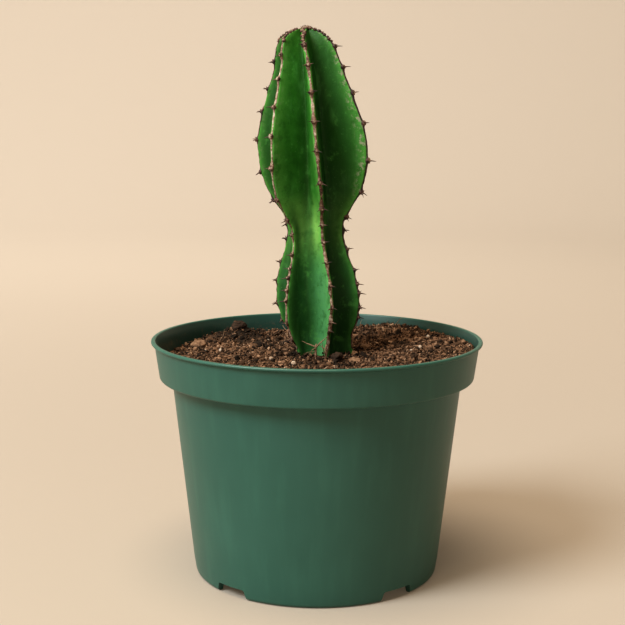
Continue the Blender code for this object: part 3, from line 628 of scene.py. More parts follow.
def skin_finish():
    """Cactus skin: deep green, bluer low down, with a lighter, yellower waist, a painted highlight
    along the crests and painted shade in the valleys.

    The mesh carries more painted shade and painted light at each point.
    """
    f = Finish("cactus_skin")
    height, crest = f.attribute("height"), f.attribute("crest")
    cloud = f.noise(0.020, 4.0, 0.55)
    streak = f.noise(0.0035, 3.0, 0.6, place=f.stretched((1.0, 1.0, 0.22)))
    deep = f.ramp(cloud, ((0.30, (0.022, 0.118, 0.012)), (0.70, (0.040, 0.190, 0.024))))
    blue = f.ramp(cloud, ((0.30, (0.026, 0.122, 0.034)), (0.70, (0.044, 0.180, 0.058))))
    base = f.blend(f.span(height, 0.42, 0.18), deep, blue)
    waist = f.times(f.span(height, 0.26, 0.40), f.span(height, 0.52, 0.41))
    waist = f.times(waist, f.span(f.noise(0.016, 3.0), 0.25, 0.70, 0.35, 1.0))
    base = f.blend(f.times(waist, 0.90), base, (0.240, 0.510, 0.120))
    base = f.blend(f.times(f.span(height, 0.09, 0.0), 0.8), base, (0.095, 0.290, 0.125))
    # Painted shade: the skin is drawn darker towards the valleys.
    base = f.blend(f.span(crest, 0.50, 0.05, 0.0, 0.70), base, (0.010, 0.045, 0.006))
    # Painted highlight: the skin is drawn lighter and yellower near the crests.
    base = f.blend(f.times(f.span(crest, 0.55, 0.97), 0.55), base, (0.100, 0.330, 0.060))
    # Painted light on rib C's lower left flank, which faces the light.
    base = f.blend(f.attribute("bloom"), base, (0.105, 0.310, 0.125))
    base = f.blend(f.times(f.attribute("young"), 0.45), base, (0.080, 0.260, 0.040))
    base = f.blend(f.attribute("shaded"), base, (0.007, 0.040, 0.006))
    mottle = f.noise(0.0055, 5.0, 0.68)
    base = f.blend(f.span(mottle, 0.52, 0.30, 0.0, 0.60), base, (0.010, 0.060, 0.006))
    base = f.blend(f.span(mottle, 0.54, 0.74, 0.0, 0.40), base, (0.085, 0.290, 0.060))
    fleck = f.span(f.noise(0.0011, 4.0, 0.75), 0.60, 0.72, 0.0, 0.20)
    base = f.blend(f.times(fleck, f.span(cloud, 0.35, 0.65)), base, (0.16, 0.40, 0.13))
    base = f.blend(f.span(streak, 0.50, 0.80, 0.0, 0.30), base, (0.075, 0.260, 0.065))
    pore = f.span(f.cells(0.0016), 0.10, 0.22, 1.0, 0.0)
    pore = f.times(pore, f.span(f.noise(0.012, 2.0), 0.45, 0.65))
    base = f.blend(f.times(pore, 0.14), base, (0.210, 0.420, 0.170))
    corky = f.times(f.attribute("worn"), f.span(f.noise(0.0024, 5.0, 0.7), 0.50, 0.60))
    base = f.blend(corky, base, (0.205, 0.225, 0.140))
    f.set(Base_Color=base, Roughness=f.span(cloud, 0.2, 0.8, 0.38, 0.50), Specular_IOR_Level=0.13)
    f.set(Subsurface_Weight=0.10, Subsurface_Scale=0.003, Subsurface_Radius=(0.4, 1.0, 0.2))
    fine = f.bump(f.noise(0.0012, 3.0, 0.6), 0.00010, 0.8)
    return f.set(Normal=f.bump(streak, 0.0002, 0.5, fine))


def horn_finish():
    """The dry horny margins and spines, pale grey where old and red-brown where fresh."""
    f = Finish("horn")
    grain = f.noise(0.0008, 4.0, 0.65)
    mixed = f.varied(f.attribute("tone"), grain, 0.5, 0.85)
    mixed = f.varied(mixed, f.noise(0.0022, 3.0, 0.6), 0.5, 1.30)
    base = f.ramp(mixed, (
        (0.05, (0.016, 0.007, 0.005)),
        (0.28, (0.060, 0.024, 0.017)),
        (0.48, (0.150, 0.080, 0.050)),
        (0.68, (0.300, 0.222, 0.163)),
        (0.92, (0.480, 0.430, 0.350)),
    ))
    f.set(Base_Color=base, Roughness=0.62)
    return f.set(Normal=f.bump(grain, 0.0004, 0.8))


def perlite_finish():
    """Expanded perlite: off-white, pitted, with brown dust in the pits."""
    f = Finish("perlite")
    pits = f.cells(0.0007)
    dust = f.noise(0.0018, 4.0, 0.65)
    base = f.ramp(dust, ((0.35, (0.560, 0.480, 0.395)), (0.62, (0.290, 0.200, 0.135))))
    base = f.blend(f.span(pits, 0.18, 0.50), (0.300, 0.210, 0.150), base)
    f.set(Base_Color=base, Roughness=0.85)
    return f.set(Normal=f.bump(pits, 0.0003, 0.9))


def bark_finish(name, depth):
    """Bark chips: brown layers with paler broken faces, and darker the greater the depth."""
    f = Finish(name)
    layers = f.noise(0.0012, 4.0, 0.6, place=f.stretched((0.5, 0.6, 2.2)))
    cloud = f.noise(0.004, 3.0, 0.6)
    mixed = f.plus(f.times(layers, 0.6), f.times(cloud, 0.4))
    base = f.ramp(f.minus(mixed, depth), (
        (0.28, (0.024, 0.013, 0.007)),
        (0.50, (0.130, 0.072, 0.040)),
        (0.70, (0.290, 0.180, 0.108)),
    ))
    f.set(Base_Color=base, Roughness=0.9, Specular_IOR_Level=0.3)
    return f.set(Normal=f.bump(layers, 0.0005, 0.9))


def root_finish():
    """Dry roots: brown, streaked along their length."""
    f = Finish("root")
    streak = f.noise(0.0006, 3.0, 0.6, place=f.stretched((1.0, 1.0, 0.18)))
    base = f.ramp(streak, (
        (0.30, (0.080, 0.042, 0.022)),
        (0.52, (0.200, 0.120, 0.072)),
        (0.72, (0.340, 0.235, 0.155)),
    ))
    f.set(Base_Color=base, Roughness=0.85)
    return f.set(Normal=f.bump(streak, 0.0003, 0.9))


def backdrop_finish():
    """Matt pale beige paper, lighter where it climbs the wall, with a faint glow that fills the shadow."""
    f = Finish("backdrop_paper")
    radius = f.node("ShaderNodeVectorMath", {0: f.place}, operation="LENGTH").outputs["Value"]
    reach = f.step("DIVIDE", radius, PAPER_SHADE_REACH)
    base = f.ramp(f.varied(reach, f.noise(0.6, 2.0), 0.5, 0.05), (
        (0.04, (0.338, 0.298, 0.254)),
        (0.12, (0.350, 0.309, 0.265)),
        (0.23, (0.374, 0.331, 0.285)),
        (0.33, (0.392, 0.349, 0.301)),
        (0.48, (0.412, 0.370, 0.321)),
        (0.60, (0.436, 0.394, 0.345)),
        (1.00, (0.442, 0.400, 0.352)),
    ))
    f.set(Base_Color=base, Roughness=0.95, Specular_IOR_Level=0.15)
    return f.set(Emission_Color=(1.0, 0.78, 0.54, 1.0), Emission_Strength=0.060)


# Pot

POT_SEGMENTS = 256
POT_MERGE = 0.001 * MM
BACKDROP_SEGMENTS = 96
BACKDROP_MERGE = 0.1 * MM


def arc(centre_radius, centre_height, radius, start, end, steps):
    """Points of a rounded corner in a section, between two angles in degrees."""
    angles = [math.radians(start + (end - start) * i / steps) for i in range(steps + 1)]
    return [(centre_radius + radius * math.cos(a), centre_height + radius * math.sin(a))
            for a in angles]


def between(start, end, count):
    """Points that divide a straight stretch, without its ends."""
    return [(start[0] + (end[0] - start[0]) * i / count, start[1] + (end[1] - start[1]) * i / count)
            for i in range(1, count)]


def pot_section():
    """The pot's section, from the middle of the floor's underside round to its top."""
    inner_foot = FOOT_RADIUS - FOOT_WIDTH
    lip_bottom = POT_HEIGHT - LIP_HEIGHT
    heel, corner, edge, lip = 0.45 * MM, 0.6 * MM, 1.3 * MM, 0.75 * MM
    straight_from = 7.5 * MM
    points = [(0.0, FLOOR_RISE)] + between((0.0, FLOOR_RISE), (inner_foot, FLOOR_RISE), 6)
    points += [(inner_foot, FLOOR_RISE)]
    points += arc(inner_foot + heel, heel, heel, 180, 270, 4)
    points += arc(FOOT_RADIUS - FOOT_CORNER, FOOT_CORNER, FOOT_CORNER, -90, -6, 8)
    low = (outer_wall_radius(straight_from), straight_from)
    wall_top = (WALL_TOP_RADIUS, BAND_BOTTOM - corner)
    points += [low] + between(low, wall_top, 12) + [wall_top]
    points += arc(WALL_TOP_RADIUS + corner, BAND_BOTTOM - corner, corner, 180, 90, 4)[1:]
    points += arc(BAND_BOTTOM_RADIUS - edge, BAND_BOTTOM + edge, edge, -90, -4, 7)
    start, end = points[-1], (outer_band_radius(lip_bottom) - 0.1 * MM, lip_bottom - 0.5 * MM)
    points += between(start, end, 4) + [end]
    points += arc(LIP_RADIUS - lip, lip_bottom + lip, lip, -80, 90, 10)
    points += arc(LIP_RADIUS - LIP_WIDTH + corner, POT_HEIGHT - corner, corner, 90, 180, 5)
    band = (outer_band_radius(lip_bottom) - WALL - 0.1 * MM, lip_bottom - 0.6 * MM)
    ledge = (outer_band_radius(LEDGE_HEIGHT) - WALL, LEDGE_HEIGHT)
    points += [band] + between(band, ledge, 4) + [ledge]
    points += [(outer_wall_radius(BAND_BOTTOM) - WALL, LEDGE_HEIGHT - STEP_SLOPE)]
    points += [(outer_wall_radius(FLOOR_TOP + WALL) - WALL, FLOOR_TOP + WALL)]
    points += [(outer_wall_radius(FLOOR_TOP) - 2 * WALL, FLOOR_TOP), (0.0, FLOOR_TOP)]
    return points


def spun(section, segments, merge):
    """A surface spun round the axis from (radius, height) points, merged within a distance."""
    shape = bmesh.new()
    verts = [shape.verts.new((radius, 0.0, height)) for radius, height in section]
    edges = [shape.edges.new(pair) for pair in zip(verts, verts[1:])]
    bmesh.ops.spin(shape, geom=verts + edges, cent=(0, 0, 0), axis=(0, 0, 1),
                   angle=2 * math.pi, steps=segments, use_merge=True)
    bmesh.ops.remove_doubles(shape, verts=shape.verts, dist=merge)
    return shape


def faced_out(shape):
    """A closed bmesh, with its faces turned outwards."""
    if shape.calc_volume(signed=True) < 0:
        bmesh.ops.reverse_faces(shape, faces=shape.faces)
    return shape


def rounded_outline(corners, radius, steps=4):
    """A convex outline with each of its corners rounded."""
    points = []
    count = len(corners)
    for i, here in enumerate(corners):
        here = Vector(here)
        to_before = (Vector(corners[i - 1]) - here).normalized()
        to_after = (Vector(corners[(i + 1) % count]) - here).normalized()
        half = to_before.angle(to_after) / 2
        reach = radius / math.tan(half)
        centre = here + (to_before + to_after).normalized() * radius / math.sin(half)
        first, last = here + to_before * reach - centre, here + to_after * reach - centre
        for step in range(steps + 1):
            between_them = first.lerp(last, step / steps)
            points.append(centre + between_them.normalized() * radius)
    return [(point.x, point.y) for point in points]


def notch_outline():
    """A drain notch seen from outside: a low trapezoid with rounded upper corners."""
    wide, narrow = NOTCH_WIDTH / 2, NOTCH_TOP_WIDTH / 2
    corners = [(-wide, -2 * MM), (wide, -2 * MM), (narrow, FLOOR_RISE), (-narrow, FLOOR_RISE)]
    return rounded_outline(corners, 1.1 * MM)


def add_prism(shape, outline, place):
    """Adds an outline pulled between two places to a bmesh."""
    loops = [[shape.verts.new(place(x, y, end)) for x, y in outline] for end in (0, 1)]
    count = len(outline)
    for i in range(count):
        j = (i + 1) % count
        shape.faces.new((loops[0][i], loops[0][j], loops[1][j], loops[1][i]))
    shape.faces.new(list(reversed(loops[0])))
    shape.faces.new(loops[1])


def pot_cutters():
    """The shapes of the drain notches and drain slots."""
    notches, slots = bmesh.new(), bmesh.new()
    radii = (FOOT_RADIUS - FOOT_WIDTH - 2 * MM, FOOT_RADIUS + 4 * MM)
    heights = (FLOOR_RISE - 1 * MM, FLOOR_TOP + 1 * MM)
    middle = FOOT_RADIUS - FOOT_WIDTH - SLOT_INSET - SLOT_WIDTH / 2
    long, wide = SLOT_LENGTH / 2, SLOT_WIDTH / 2
    box = [(-long, -wide), (long, -wide), (long, wide), (-long, wide)]
    slot = rounded_outline(box, wide * 0.999, 8)
    for degrees in NOTCH_AZIMUTHS:
        azimuth = math.radians(degrees)
        out, side = outward(azimuth), sideways(azimuth)
        add_prism(notches, notch_outline(),
                  lambda x, y, end: out * radii[end] + side * x + Vector((0, 0, y)))
        add_prism(slots, slot,
                  lambda x, y, end: out * (middle + y) + side * x + Vector((0, 0, heights[end])))
    return notches, slots


def cut_away(mesh, cutters):
    """The mesh with the cutters' shapes taken away."""
    body = put("uncut", mesh)
    holders = []
    for cutter in cutters:
        holders.append(put("cutter", as_mesh("cutter", faced_out(cutter))))
        boolean = body.modifiers.new("cut", "BOOLEAN")
        boolean.operation, boolean.object = "DIFFERENCE", holders[-1]
    return settled(body, *holders)


def make_pot():
    """The pot, with its drain notches and slots."""
    shape = faced_out(spun(pot_section(), POT_SEGMENTS, POT_MERGE))
    mesh = cut_away(as_mesh("pot_shell", shape), pot_cutters())
    place_piece("pot_shell", mesh, plastic_finish(), ["pot"], 32)


# Growing mix


# Dark places on the mix, x, y, spread and how dark: peat in the clump at the back left,
# and painted shade at the stem's foot.
PEAT_AND_SHADE_PLACES = (
    (-0.50 * MOUTH, 0.60 * MOUTH, 12.0 * MM, 1.0),
    (3.0 * MM, -12.0 * MM, 11.0 * MM, 0.8),
)
# Crumbs: how many, sizes, lift, nearest and farthest share of the mouth, ball level, how dark.
COARSE_CRUMBS = (
    (1300, (0.9 * MM, 2.7 * MM), (0.0, 0.5), 0.0, 1.0, 2, 0.0),
    (80, (2.4 * MM, 5.2 * MM), (-0.15, 0.10), 0.22, 0.95, 3, 0.06),
    # The crumbs round the stem's foot are drawn darker: painted shade under the stem.
    (260, (0.9 * MM, 2.4 * MM), (0.1, 0.9), 0.13, 0.26, 2, 0.12),
)
FINE_CRUMBS = ((9800, (0.5 * MM, 1.3 * MM), (0.1, 0.9), 0.0, 1.0, 1, -0.04),)
CRUMB_FORMS = 24
STEM_FOOT_X = 2.5 * MM
STEM_FOOT_CLEARANCE = 8.0 * MM


def peat_and_shade(x, y):
    """How dark the mix is at a place, from peat and from painted shade, from 0 to 1."""
    total = 0.0
    for middle_x, middle_y, spread, weight in PEAT_AND_SHADE_PLACES:
        away = (x - middle_x) ** 2 + (y - middle_y) ** 2
        total = total + weight * np.exp(-away / (2 * spread**2))
    return np.clip(total, 0, 1)


def make_mix_body(finish):
    """The body of growing mix, with a crumbly top."""
    count, steps = 420, 100
    azimuths = 2 * math.pi * np.arange(count) / count
    level = np.stack([np.sin(azimuths), -np.cos(azimuths)], 1)
    side = (
        (outer_wall_radius(FLOOR_TOP) - 2 * WALL - FIT_GAP, FLOOR_TOP + FIT_GAP),
        (outer_wall_radius(FLOOR_TOP + WALL) - WALL - FIT_GAP, FLOOR_TOP + WALL + FIT_GAP),
        (outer_wall_radius(BAND_BOTTOM) - WALL - FIT_GAP, LEDGE_HEIGHT - STEP_SLOPE + FIT_GAP),
        (inner_band_radius(LEDGE_HEIGHT), LEDGE_HEIGHT + FIT_GAP),
    )
    rings = [np.column_stack([level * radius, np.full(count, height)]) for radius, height in side]
    for share in np.linspace(1.0, 0.06, steps):
        place = level * MOUTH * share
        height = mix_height(place[:, 0], place[:, 1])
        flat = np.column_stack([place, np.zeros(count)])
        height = height - 0.3 * MM + 0.55 * MM * fractal(flat, 5.0 * MM, 11)
        height += 0.55 * MM * fractal(flat, 1.9 * MM, 17, 2) ** 2 * 2
        height += 0.30 * MM * noise(flat, 1.1 * MM, 23)
        if share > 0.985:
            height = np.minimum(height, mix_height(place[:, 0], place[:, 1]))
        rings.append(np.column_stack([place, height]))
    rings = np.array(rings)
    flat = rings.reshape(-1, 3) * (1, 1, 0)
    tone = 0.40 + 0.20 * noise(flat, 1.6 * MM, 31) + 0.14 * noise(flat, 0.9 * MM, 37)
    # Peat, and painted shade at the stem's foot, darken the mix's top.
    tone = tone - 0.25 * peat_and_shade(flat[:, 0], flat[:, 1])
    shape = Shape()
    shape.add_rings(rings, {"tone": tone.reshape(len(rings), count)})
    shape.make("mix_body", finish, ["potting_mix"])


def scatter(count, size_range, generator, lift, near, far):
    """Random places on the mix with a size each, clear of the pot's wall and the stem."""
    size = size_range[0] + (size_range[1] - size_range[0]) * generator.uniform(0, 1, count) ** 1.7
    share = np.sqrt(generator.uniform(near**2, far**2, count))
    azimuth = generator.uniform(0, 2 * math.pi, count)
    radius = np.minimum(share * (MOUTH - 0.2 * MM), MOUTH - size * 0.75)
    x, y = radius * np.sin(azimuth), -radius * np.cos(azimuth)
    z = mix_height(x, y) - 0.1 * MM + size * generator.uniform(*lift, count)
    keep = np.hypot(x - STEM_FOOT_X, y) > STEM_FOOT_CLEARANCE
    return np.column_stack([x, y, z])[keep], size[keep]


def crumb_forms(level, count, generator):
    """Irregular lumps of about unit radius."""
    points, faces = ball(level)
    forms = []
    for _ in range(count):
        rough = 1 + 0.46 * random_noise(points, 0.9, 5, generator)
        rough += 0.26 * random_noise(points, 0.45, 6, generator)
        forms.append(points * rough[:, None] * generator.uniform(0.50, 1.20, 3))
    return forms, faces


def add_crumbs(shape, places, sizes, level, darker, generator):
    """Adds a crumb of mix at each place."""
    forms, faces = crumb_forms(level, CRUMB_FORMS, generator)
    turns = random_turns(len(places), generator)
    kinds = generator.integers(0, len(forms), len(places))
    tones = generator.beta(2.0, 2.6, len(places)) * 0.92 - darker
    # Peat, and painted shade at the stem's foot, darken the crumbs too.
    tones -= 0.30 * peat_and_shade(places[:, 0], places[:, 1])
    for index, place in enumerate(places):
        points = forms[kinds[index]] @ turns[index].T * sizes[index] / 2 + place
        shape.add(points, (faces,), {"tone": np.full(len(points), tones[index])})


def make_crumbs(finish):
    """The loose crumbs of the mix, coarse and fine."""
    generator = np.random.default_rng(71)
    for name, batches, sharp_above in (("coarse", COARSE_CRUMBS, 40), ("fine", FINE_CRUMBS, 0)):
        shape = Shape()
        for count, size_range, lift, near, far, level, darker in batches:
            places, sizes = scatter(count, size_range, generator, lift, near, far)
            add_crumbs(shape, places, sizes, level, darker, generator)
        shape.make("mix_crumbs_" + name, finish, sharp_above=sharp_above)


def make_fibres(finish):
    """Fine dead rootlets and peat fibres that lie on the mix or stick out of it."""
    generator = np.random.default_rng(72)
    shape = Shape()
    places, _ = scatter(420, (0.5 * MM, 1.0 * MM), generator, (0.0, 0.4), 0.12, 0.98)
    for index, place in enumerate(places):
        length = generator.uniform(2.5, 8.0) * MM
        heading = generator.uniform(0, 2 * math.pi)
        rise = generator.uniform(-0.1, 0.35) if index % 5 else generator.uniform(0.5, 1.0)
        step = np.array([math.cos(heading), math.sin(heading), rise])
        step *= length / 6 / np.linalg.norm(step)
        path = [place - (0, 0, 0.2 * MM)]
        for _ in range(6):
            step = step + generator.normal(0, 0.18, 3) * length / 6
            step[2] -= 0.03 * length / 6
            path.append(path[-1] + step)
        path = np.array(path)
        radius = np.hypot(path[:, 0], path[:, 1])
        path[:, :2] *= np.minimum(1, (MOUTH - 0.5 * MM) / radius)[:, None]
        ground = mix_height(path[:, 0], path[:, 1])
        path[:, 2] = np.clip(path[:, 2], ground - 0.1 * MM, ground + 4.0 * MM)
        radii = np.linspace(1.0, 0.4, 7) * generator.uniform(0.10, 0.26) * MM
        tone = np.full(7, generator.uniform(0.25, 0.85))
        tube(shape, path, radii, 4, {"tone": tone})
    shape.make("mix_fibres", finish)


def make_flakes(finish):
    """Small flat flakes of bark and wood in the mix."""
    generator = np.random.default_rng(73)
    points, faces = ball(2)
    shape = Shape()
    places, sizes = scatter(170, (1.8 * MM, 4.2 * MM), generator, (0.05, 0.30), 0.16, 0.97)
    for place, size in zip(places, sizes):
        box = np.clip(points, -0.62, 0.62) / 0.62
        box = box * (1 + 0.14 * random_noise(points, 0.6, 8, generator))[:, None]
        form = box * np.array([1.0, generator.uniform(0.35, 0.8), generator.uniform(0.10, 0.24)])
        turn = Matrix.Rotation(generator.uniform(0, 2 * math.pi), 3, "Z")
        tilt = Matrix.Rotation(generator.normal(0, 0.45), 3, "X")
        tip = Matrix.Rotation(generator.normal(0, 0.35), 3, "Y")
        moved = form @ np.array(turn @ tilt @ tip).T * size / 2 + place
        tone = np.full(len(moved), generator.beta(2.2, 2.0))
        shape.add(moved, (faces,), {"tone": tone})
    shape.make("mix_flakes", finish, sharp_above=35)


# Stem

TOOTH_RISE = 0.38 * MM
CAP_RISE = 0.12
# The share of the stem's height that its closely ringed apex takes up.
APEX = 0.06
# Painted shade: how much darker the skin is drawn in the valley after each rib, below and above the waist.
# Set after the photo, so some of it may be the photo's own shadow.
VALLEY_SHADES = ((0.70, 0.82), (0.05, 0.18), (0.92, 0.70), (0.15, 0.15), (0.10, 0.10), (0.35, 0.25))


def stem_levels():
    """Heights of the stem's rings as shares, closer together near the apex."""
    foot = np.linspace(-0.15, 0.0, 24, endpoint=False)
    body = np.linspace(0.0, 1 - APEX, 250, endpoint=False)
    top = 1.0 - APEX * np.linspace(1.0, 0.0, 46) ** 1.6
    return np.concatenate([foot, body, top])


def teeth(rib, share):
    """How much a crest stands out at its cushions, from 0 to 1."""
    reach = 1.9 * MM / STEM_HEIGHT
    places = np.array(CUSHION_SHARES[rib])
    return float(np.exp(-(((share - places) / reach) ** 2)).max())


def flank_points(rib, share, side, steps):
    """One flank of a rib in plan, from the crest to the valley, with crest-ness at each point."""
    count = len(RIB_AZIMUTHS)
    azimuth = rib_azimuth(rib, share)
    gap_rib = rib if side > 0 else (rib - 1) % count
    other = rib_azimuth((rib + side) % count, share)
    turn = (other - azimuth) * side % (2 * math.pi)
    low_share = smooth_value(VALLEY_TURN[gap_rib], share)
    low_turn = turn * (low_share if side > 0 else 1 - low_share)
    low_azimuth = azimuth + side * low_turn
    crest = crest_radius(rib, share)
    valley = valley_radius(gap_rib, share)
    depth = crest - valley
    start = outward(azimuth) * crest + sideways(azimuth) * side * crest_half_width(rib, share)
    end = outward(low_azimuth) * valley
    leave = start - outward(azimuth) * 0.45 * depth + sideways(azimuth) * side * 0.06 * depth
    # The valley between the ribs B and C is rounder below the waist than part.py's.
    soft = smooth_value(((0.36, 0.62), (0.50, 0.30)), share) if gap_rib == RIB_B else 0.30
    arrive = end - sideways(low_azimuth) * side * soft * valley * low_turn
    t = steps[:, None]
    s = 1 - t
    points = [np.array(v)[None, :] for v in (start, leave, arrive, end)]
    place = points[0] * s**3 + points[1] * 3 * s * s * t
    place = place + points[2] * 3 * s * t * t + points[3] * t**3
    return place, (1 - steps) ** 1.2


def stem_rings(levels):
    """Points of the stem's rings, and the crest-ness, rib and valley of each."""
    steps = (np.arange(15) / 14) ** 1.25
    rings, crests, ribs, valleys = [], [], [], []
    for share in levels:
        middle = np.array(stem_axis(share))
        ring, ness, number, valley = [], [], [], []
        for rib in range(len(RIB_AZIMUTHS)):
            azimuth = rib_azimuth(rib, share)
            out = np.array(outward(azimuth))
            half = crest_half_width(rib, share)
            before, before_ness = flank_points(rib, share, -1, steps)
            after, after_ness = flank_points(rib, share, 1, steps)
            cap = out * (crest_radius(rib, share) + CAP_RISE * half)
            push = TOOTH_RISE * teeth(rib, share)
            for part, value, back in ((before[-2::-1], before_ness[-2::-1], 1),
                                      (cap[None, :], np.ones(1), 0), (after, after_ness, 0)):
                ring.append(part + out * push * (value**6)[:, None])
                ness.append(value)
                number.append(np.full(len(value), rib))
                valley.append(np.full(len(value), (rib - back) % len(RIB_AZIMUTHS)))
        rings.append(np.concatenate(ring) + middle)
        crests.append(np.concatenate(ness))
        ribs.append(np.concatenate(number))
        valleys.append(np.concatenate(valley))
    return np.array(rings), np.array(crests), np.array(ribs), np.array(valleys)


def make_stem(finish):
    """The fleshy ribbed stem."""
    levels = stem_levels()
    rings, crests, ribs, valleys = stem_rings(levels)
    flat = rings.reshape(-1, 3)
    middles = np.array([stem_axis(share) for share in levels])[:, None, :]
    out = rings - middles
    out[:, :, 2] = 0
    out = (out / np.maximum(np.linalg.norm(out, axis=2, keepdims=True), 1e-6)).reshape(-1, 3)
    swell = 0.45 * MM * fractal(flat, 13.0 * MM, 3) + 0.07 * MM * noise(flat, 3.0 * MM, 4)
    fade = np.clip((1.0 - np.repeat(levels, rings.shape[1])) / 0.05, 0, 1)
    flat = flat + out * (swell * fade)[:, None]
    high = np.repeat(levels[:, None], rings.shape[1], 1)
    worn = np.where(ribs == RIB_D, 1.0, 0.35) * np.clip((crests - 0.78) / 0.12, 0, 1)
    worn *= np.clip((high - 0.45) / 0.1, 0, 1) * np.where(ribs == RIB_D, 1, 0.6)
    upper = np.clip((high - 0.30) / 0.2, 0, 1)
    # Painted shade in the valleys, and on rib B's lower right flank and rib D's lower left flank.
    shades = np.array(VALLEY_SHADES)[valleys]
    shaded = (shades[..., 0] * (1 - upper) + shades[..., 1] * upper) * (1 - crests**6)
    below = 1 - np.clip((high - 0.40) / 0.12, 0, 1)
    inner = (valleys == RIB_B) * np.clip(crests * 1.6, 0, 1) * below
    shaded = np.maximum(shaded, 0.88 * inner * (ribs == RIB_B) * (1 - crests**8))
    shaded = np.maximum(shaded, 0.55 * (ribs == RIB_D) * (valleys == RIB_C) * below)
    values = {
        "height": high,
        "crest": crests,
        "shaded": shaded,
        # Painted light on rib C's lower left flank.
        "bloom": 0.55 * inner * (ribs == RIB_C) * np.clip((0.36 - high) / 0.12, 0, 1),
        "worn": worn,
        "young": np.clip((high - 0.90) / 0.1, 0, 1),
    }
    shape = Shape()
    shape.add_rings(flat.reshape(rings.shape), values)
    shape.make("stem_flesh", finish, ["cactus_stem"])


# Spine margins

# How each rib's margin looks at heights along it: 0 is near black, 1 is pale grey.
MARGIN_TONES = (
    ((0.0, 0.48), (0.4, 0.36), (0.7, 0.40), (1.0, 0.36)),
    ((0.0, 0.60), (0.3, 0.60), (0.45, 0.46), (0.6, 0.68), (0.85, 0.66), (1.0, 0.40)),
    ((0.0, 0.58), (0.3, 0.60), (0.45, 0.42), (0.7, 0.58), (0.85, 0.56), (1.0, 0.42)),
    # Rib D's margin is drawn darker with painted shade as well as its own colour.
    ((0.0, 0.44), (0.3, 0.30), (0.5, 0.14), (0.8, 0.14), (1.0, 0.28)),
    ((0.0, 0.60), (0.5, 0.52), (1.0, 0.44)),
    ((0.0, 0.60), (0.5, 0.60), (1.0, 0.44)),
)
MARGIN_FOOT = 0.018
APEX_CUSHIONS = (0.960, 0.967, 0.973, 0.979, 0.985, 0.990, 0.995)
CREST_SPACING = 0.35 * MM
WAIST_SHARE = 0.42
SPINE_THICKNESS = 0.62 * MM
SMALL_SPINE_THICKNESS = 0.42 * MM
CROWN_SPINES = 22
CROWN_REACH = 2.6 * MM
GOLDEN_ANGLE = 2.399963


def crest_point(rib, share):
    """A point on a rib's crest with its teeth, as drawn by the stem."""
    out = np.array(outward(rib_azimuth(rib, share)))
    radius = crest_radius(rib, share) + CAP_RISE * crest_half_width(rib, share)
    return np.array(stem_axis(share)) + out * (radius + TOOTH_RISE * teeth(rib, share))


def crest_line(rib):
    """Evenly spaced points along a rib's crest, with the share of height of each."""
    top = 1 - APEX * np.linspace(1, 0.02, 260)[1:] ** 1.7
    shares = np.concatenate([np.linspace(MARGIN_FOOT, 1 - APEX, 700), top])
    points = np.array([crest_point(rib, share) for share in shares])
    gone = np.concatenate([[0], np.cumsum(np.linalg.norm(np.diff(points, axis=0), axis=1))])
    even = np.linspace(0, gone[-1], int(gone[-1] / CREST_SPACING))
    line = np.column_stack([np.interp(even, gone, points[:, k]) for k in range(3)])
    return line, np.interp(even, gone, shares)


def line_frames(rib, line, shares):
    """The directions along, out of and across a crest line."""
    along = unit(np.gradient(line, axis=0))
    across = np.array([sideways(rib_azimuth(rib, share)) for share in shares])
    out = unit(np.cross(across, along))
    return along, out, np.cross(along, out)


def add_strip(shape, rib, line, shares, out, across):
    """Adds the horny strip: a low uneven ridge that is widest at the cushions."""
    count = len(line)
    step = np.arange(count) * CREST_SPACING
    track = np.column_stack([step, np.full(count, rib * 0.1), np.zeros(count)])
    near = np.array([teeth(rib, share) for share in shares])
    narrow = np.clip((1.0 - shares) / 0.03, 0.80, 1)
    width = (0.66 + 0.20 * noise(track, 2.6 * MM, 41) + 0.18 * noise(track, 0.9 * MM, 42)) * MM
    width = (width + 0.30 * MM * near) * narrow
    height = (0.30 + 0.14 * noise(track, 1.8 * MM, 43) + 0.34 * near) * MM * narrow
    shift = 0.22 * MM * noise(track, 4.0 * MM, 44)
    angles = np.linspace(-20, 200, 9)
    rings, values = [], []
    for i in range(count):
        ring = []
        for angle in np.radians(angles):
            wobble = 1 + 0.14 * lattice(i // 2, int(angle * 50), rib, 9)
            level = across[i] * (math.cos(angle) * width[i] * wobble + shift[i])
            rise = out[i] * (math.sin(angle) * height[i] * wobble - 0.10 * MM)
            ring.append(line[i] + level + rise)
        rings.append(ring)
        tone = smooth_value(MARGIN_TONES[rib], shares[i]) - 0.10 * near[i]
        values.append(tone - 0.30 * np.abs(np.cos(np.radians(angles))) ** 6)
    shape.add_rings(np.array(rings), {"tone": np.array(values)})


def add_cushion(shape, centre, along, out, across, size, tone, generator):
    """Adds the rounded cushion that carries the spines."""
    points, faces = ball(3)
    rough = 1 + 0.16 * random_noise(points, 0.5, 51, generator)
    rough += 0.08 * random_noise(points, 0.25, 52, generator)
    form = points * rough[:, None]
    frame_rows = np.stack([across * size, along * size * 0.85, out * size * 0.72])
    # The cushion's outer dome is drawn paler: a painted highlight.
    paler = np.clip(form[:, 2], 0, 1) ** 2 * 0.34
    shape.add(form @ frame_rows + centre, (faces,), {"tone": tone + paler})


def add_spine(shape, start, direction, bend, length, thickness, tone):
    """Adds one spine: a curved cone, paler along its length with a dark tip."""
    t = np.linspace(0, 1, 9)
    path = start + direction * (t * length)[:, None] + bend * (t**2 * length * 0.12)[:, None]
    radii = thickness / 2 * (1 - t) ** 0.75 + 0.03 * MM
    tube(shape, path, radii, 8, {"tone": tone + 0.18 * np.sin(t * math.pi) - 0.12 * t})


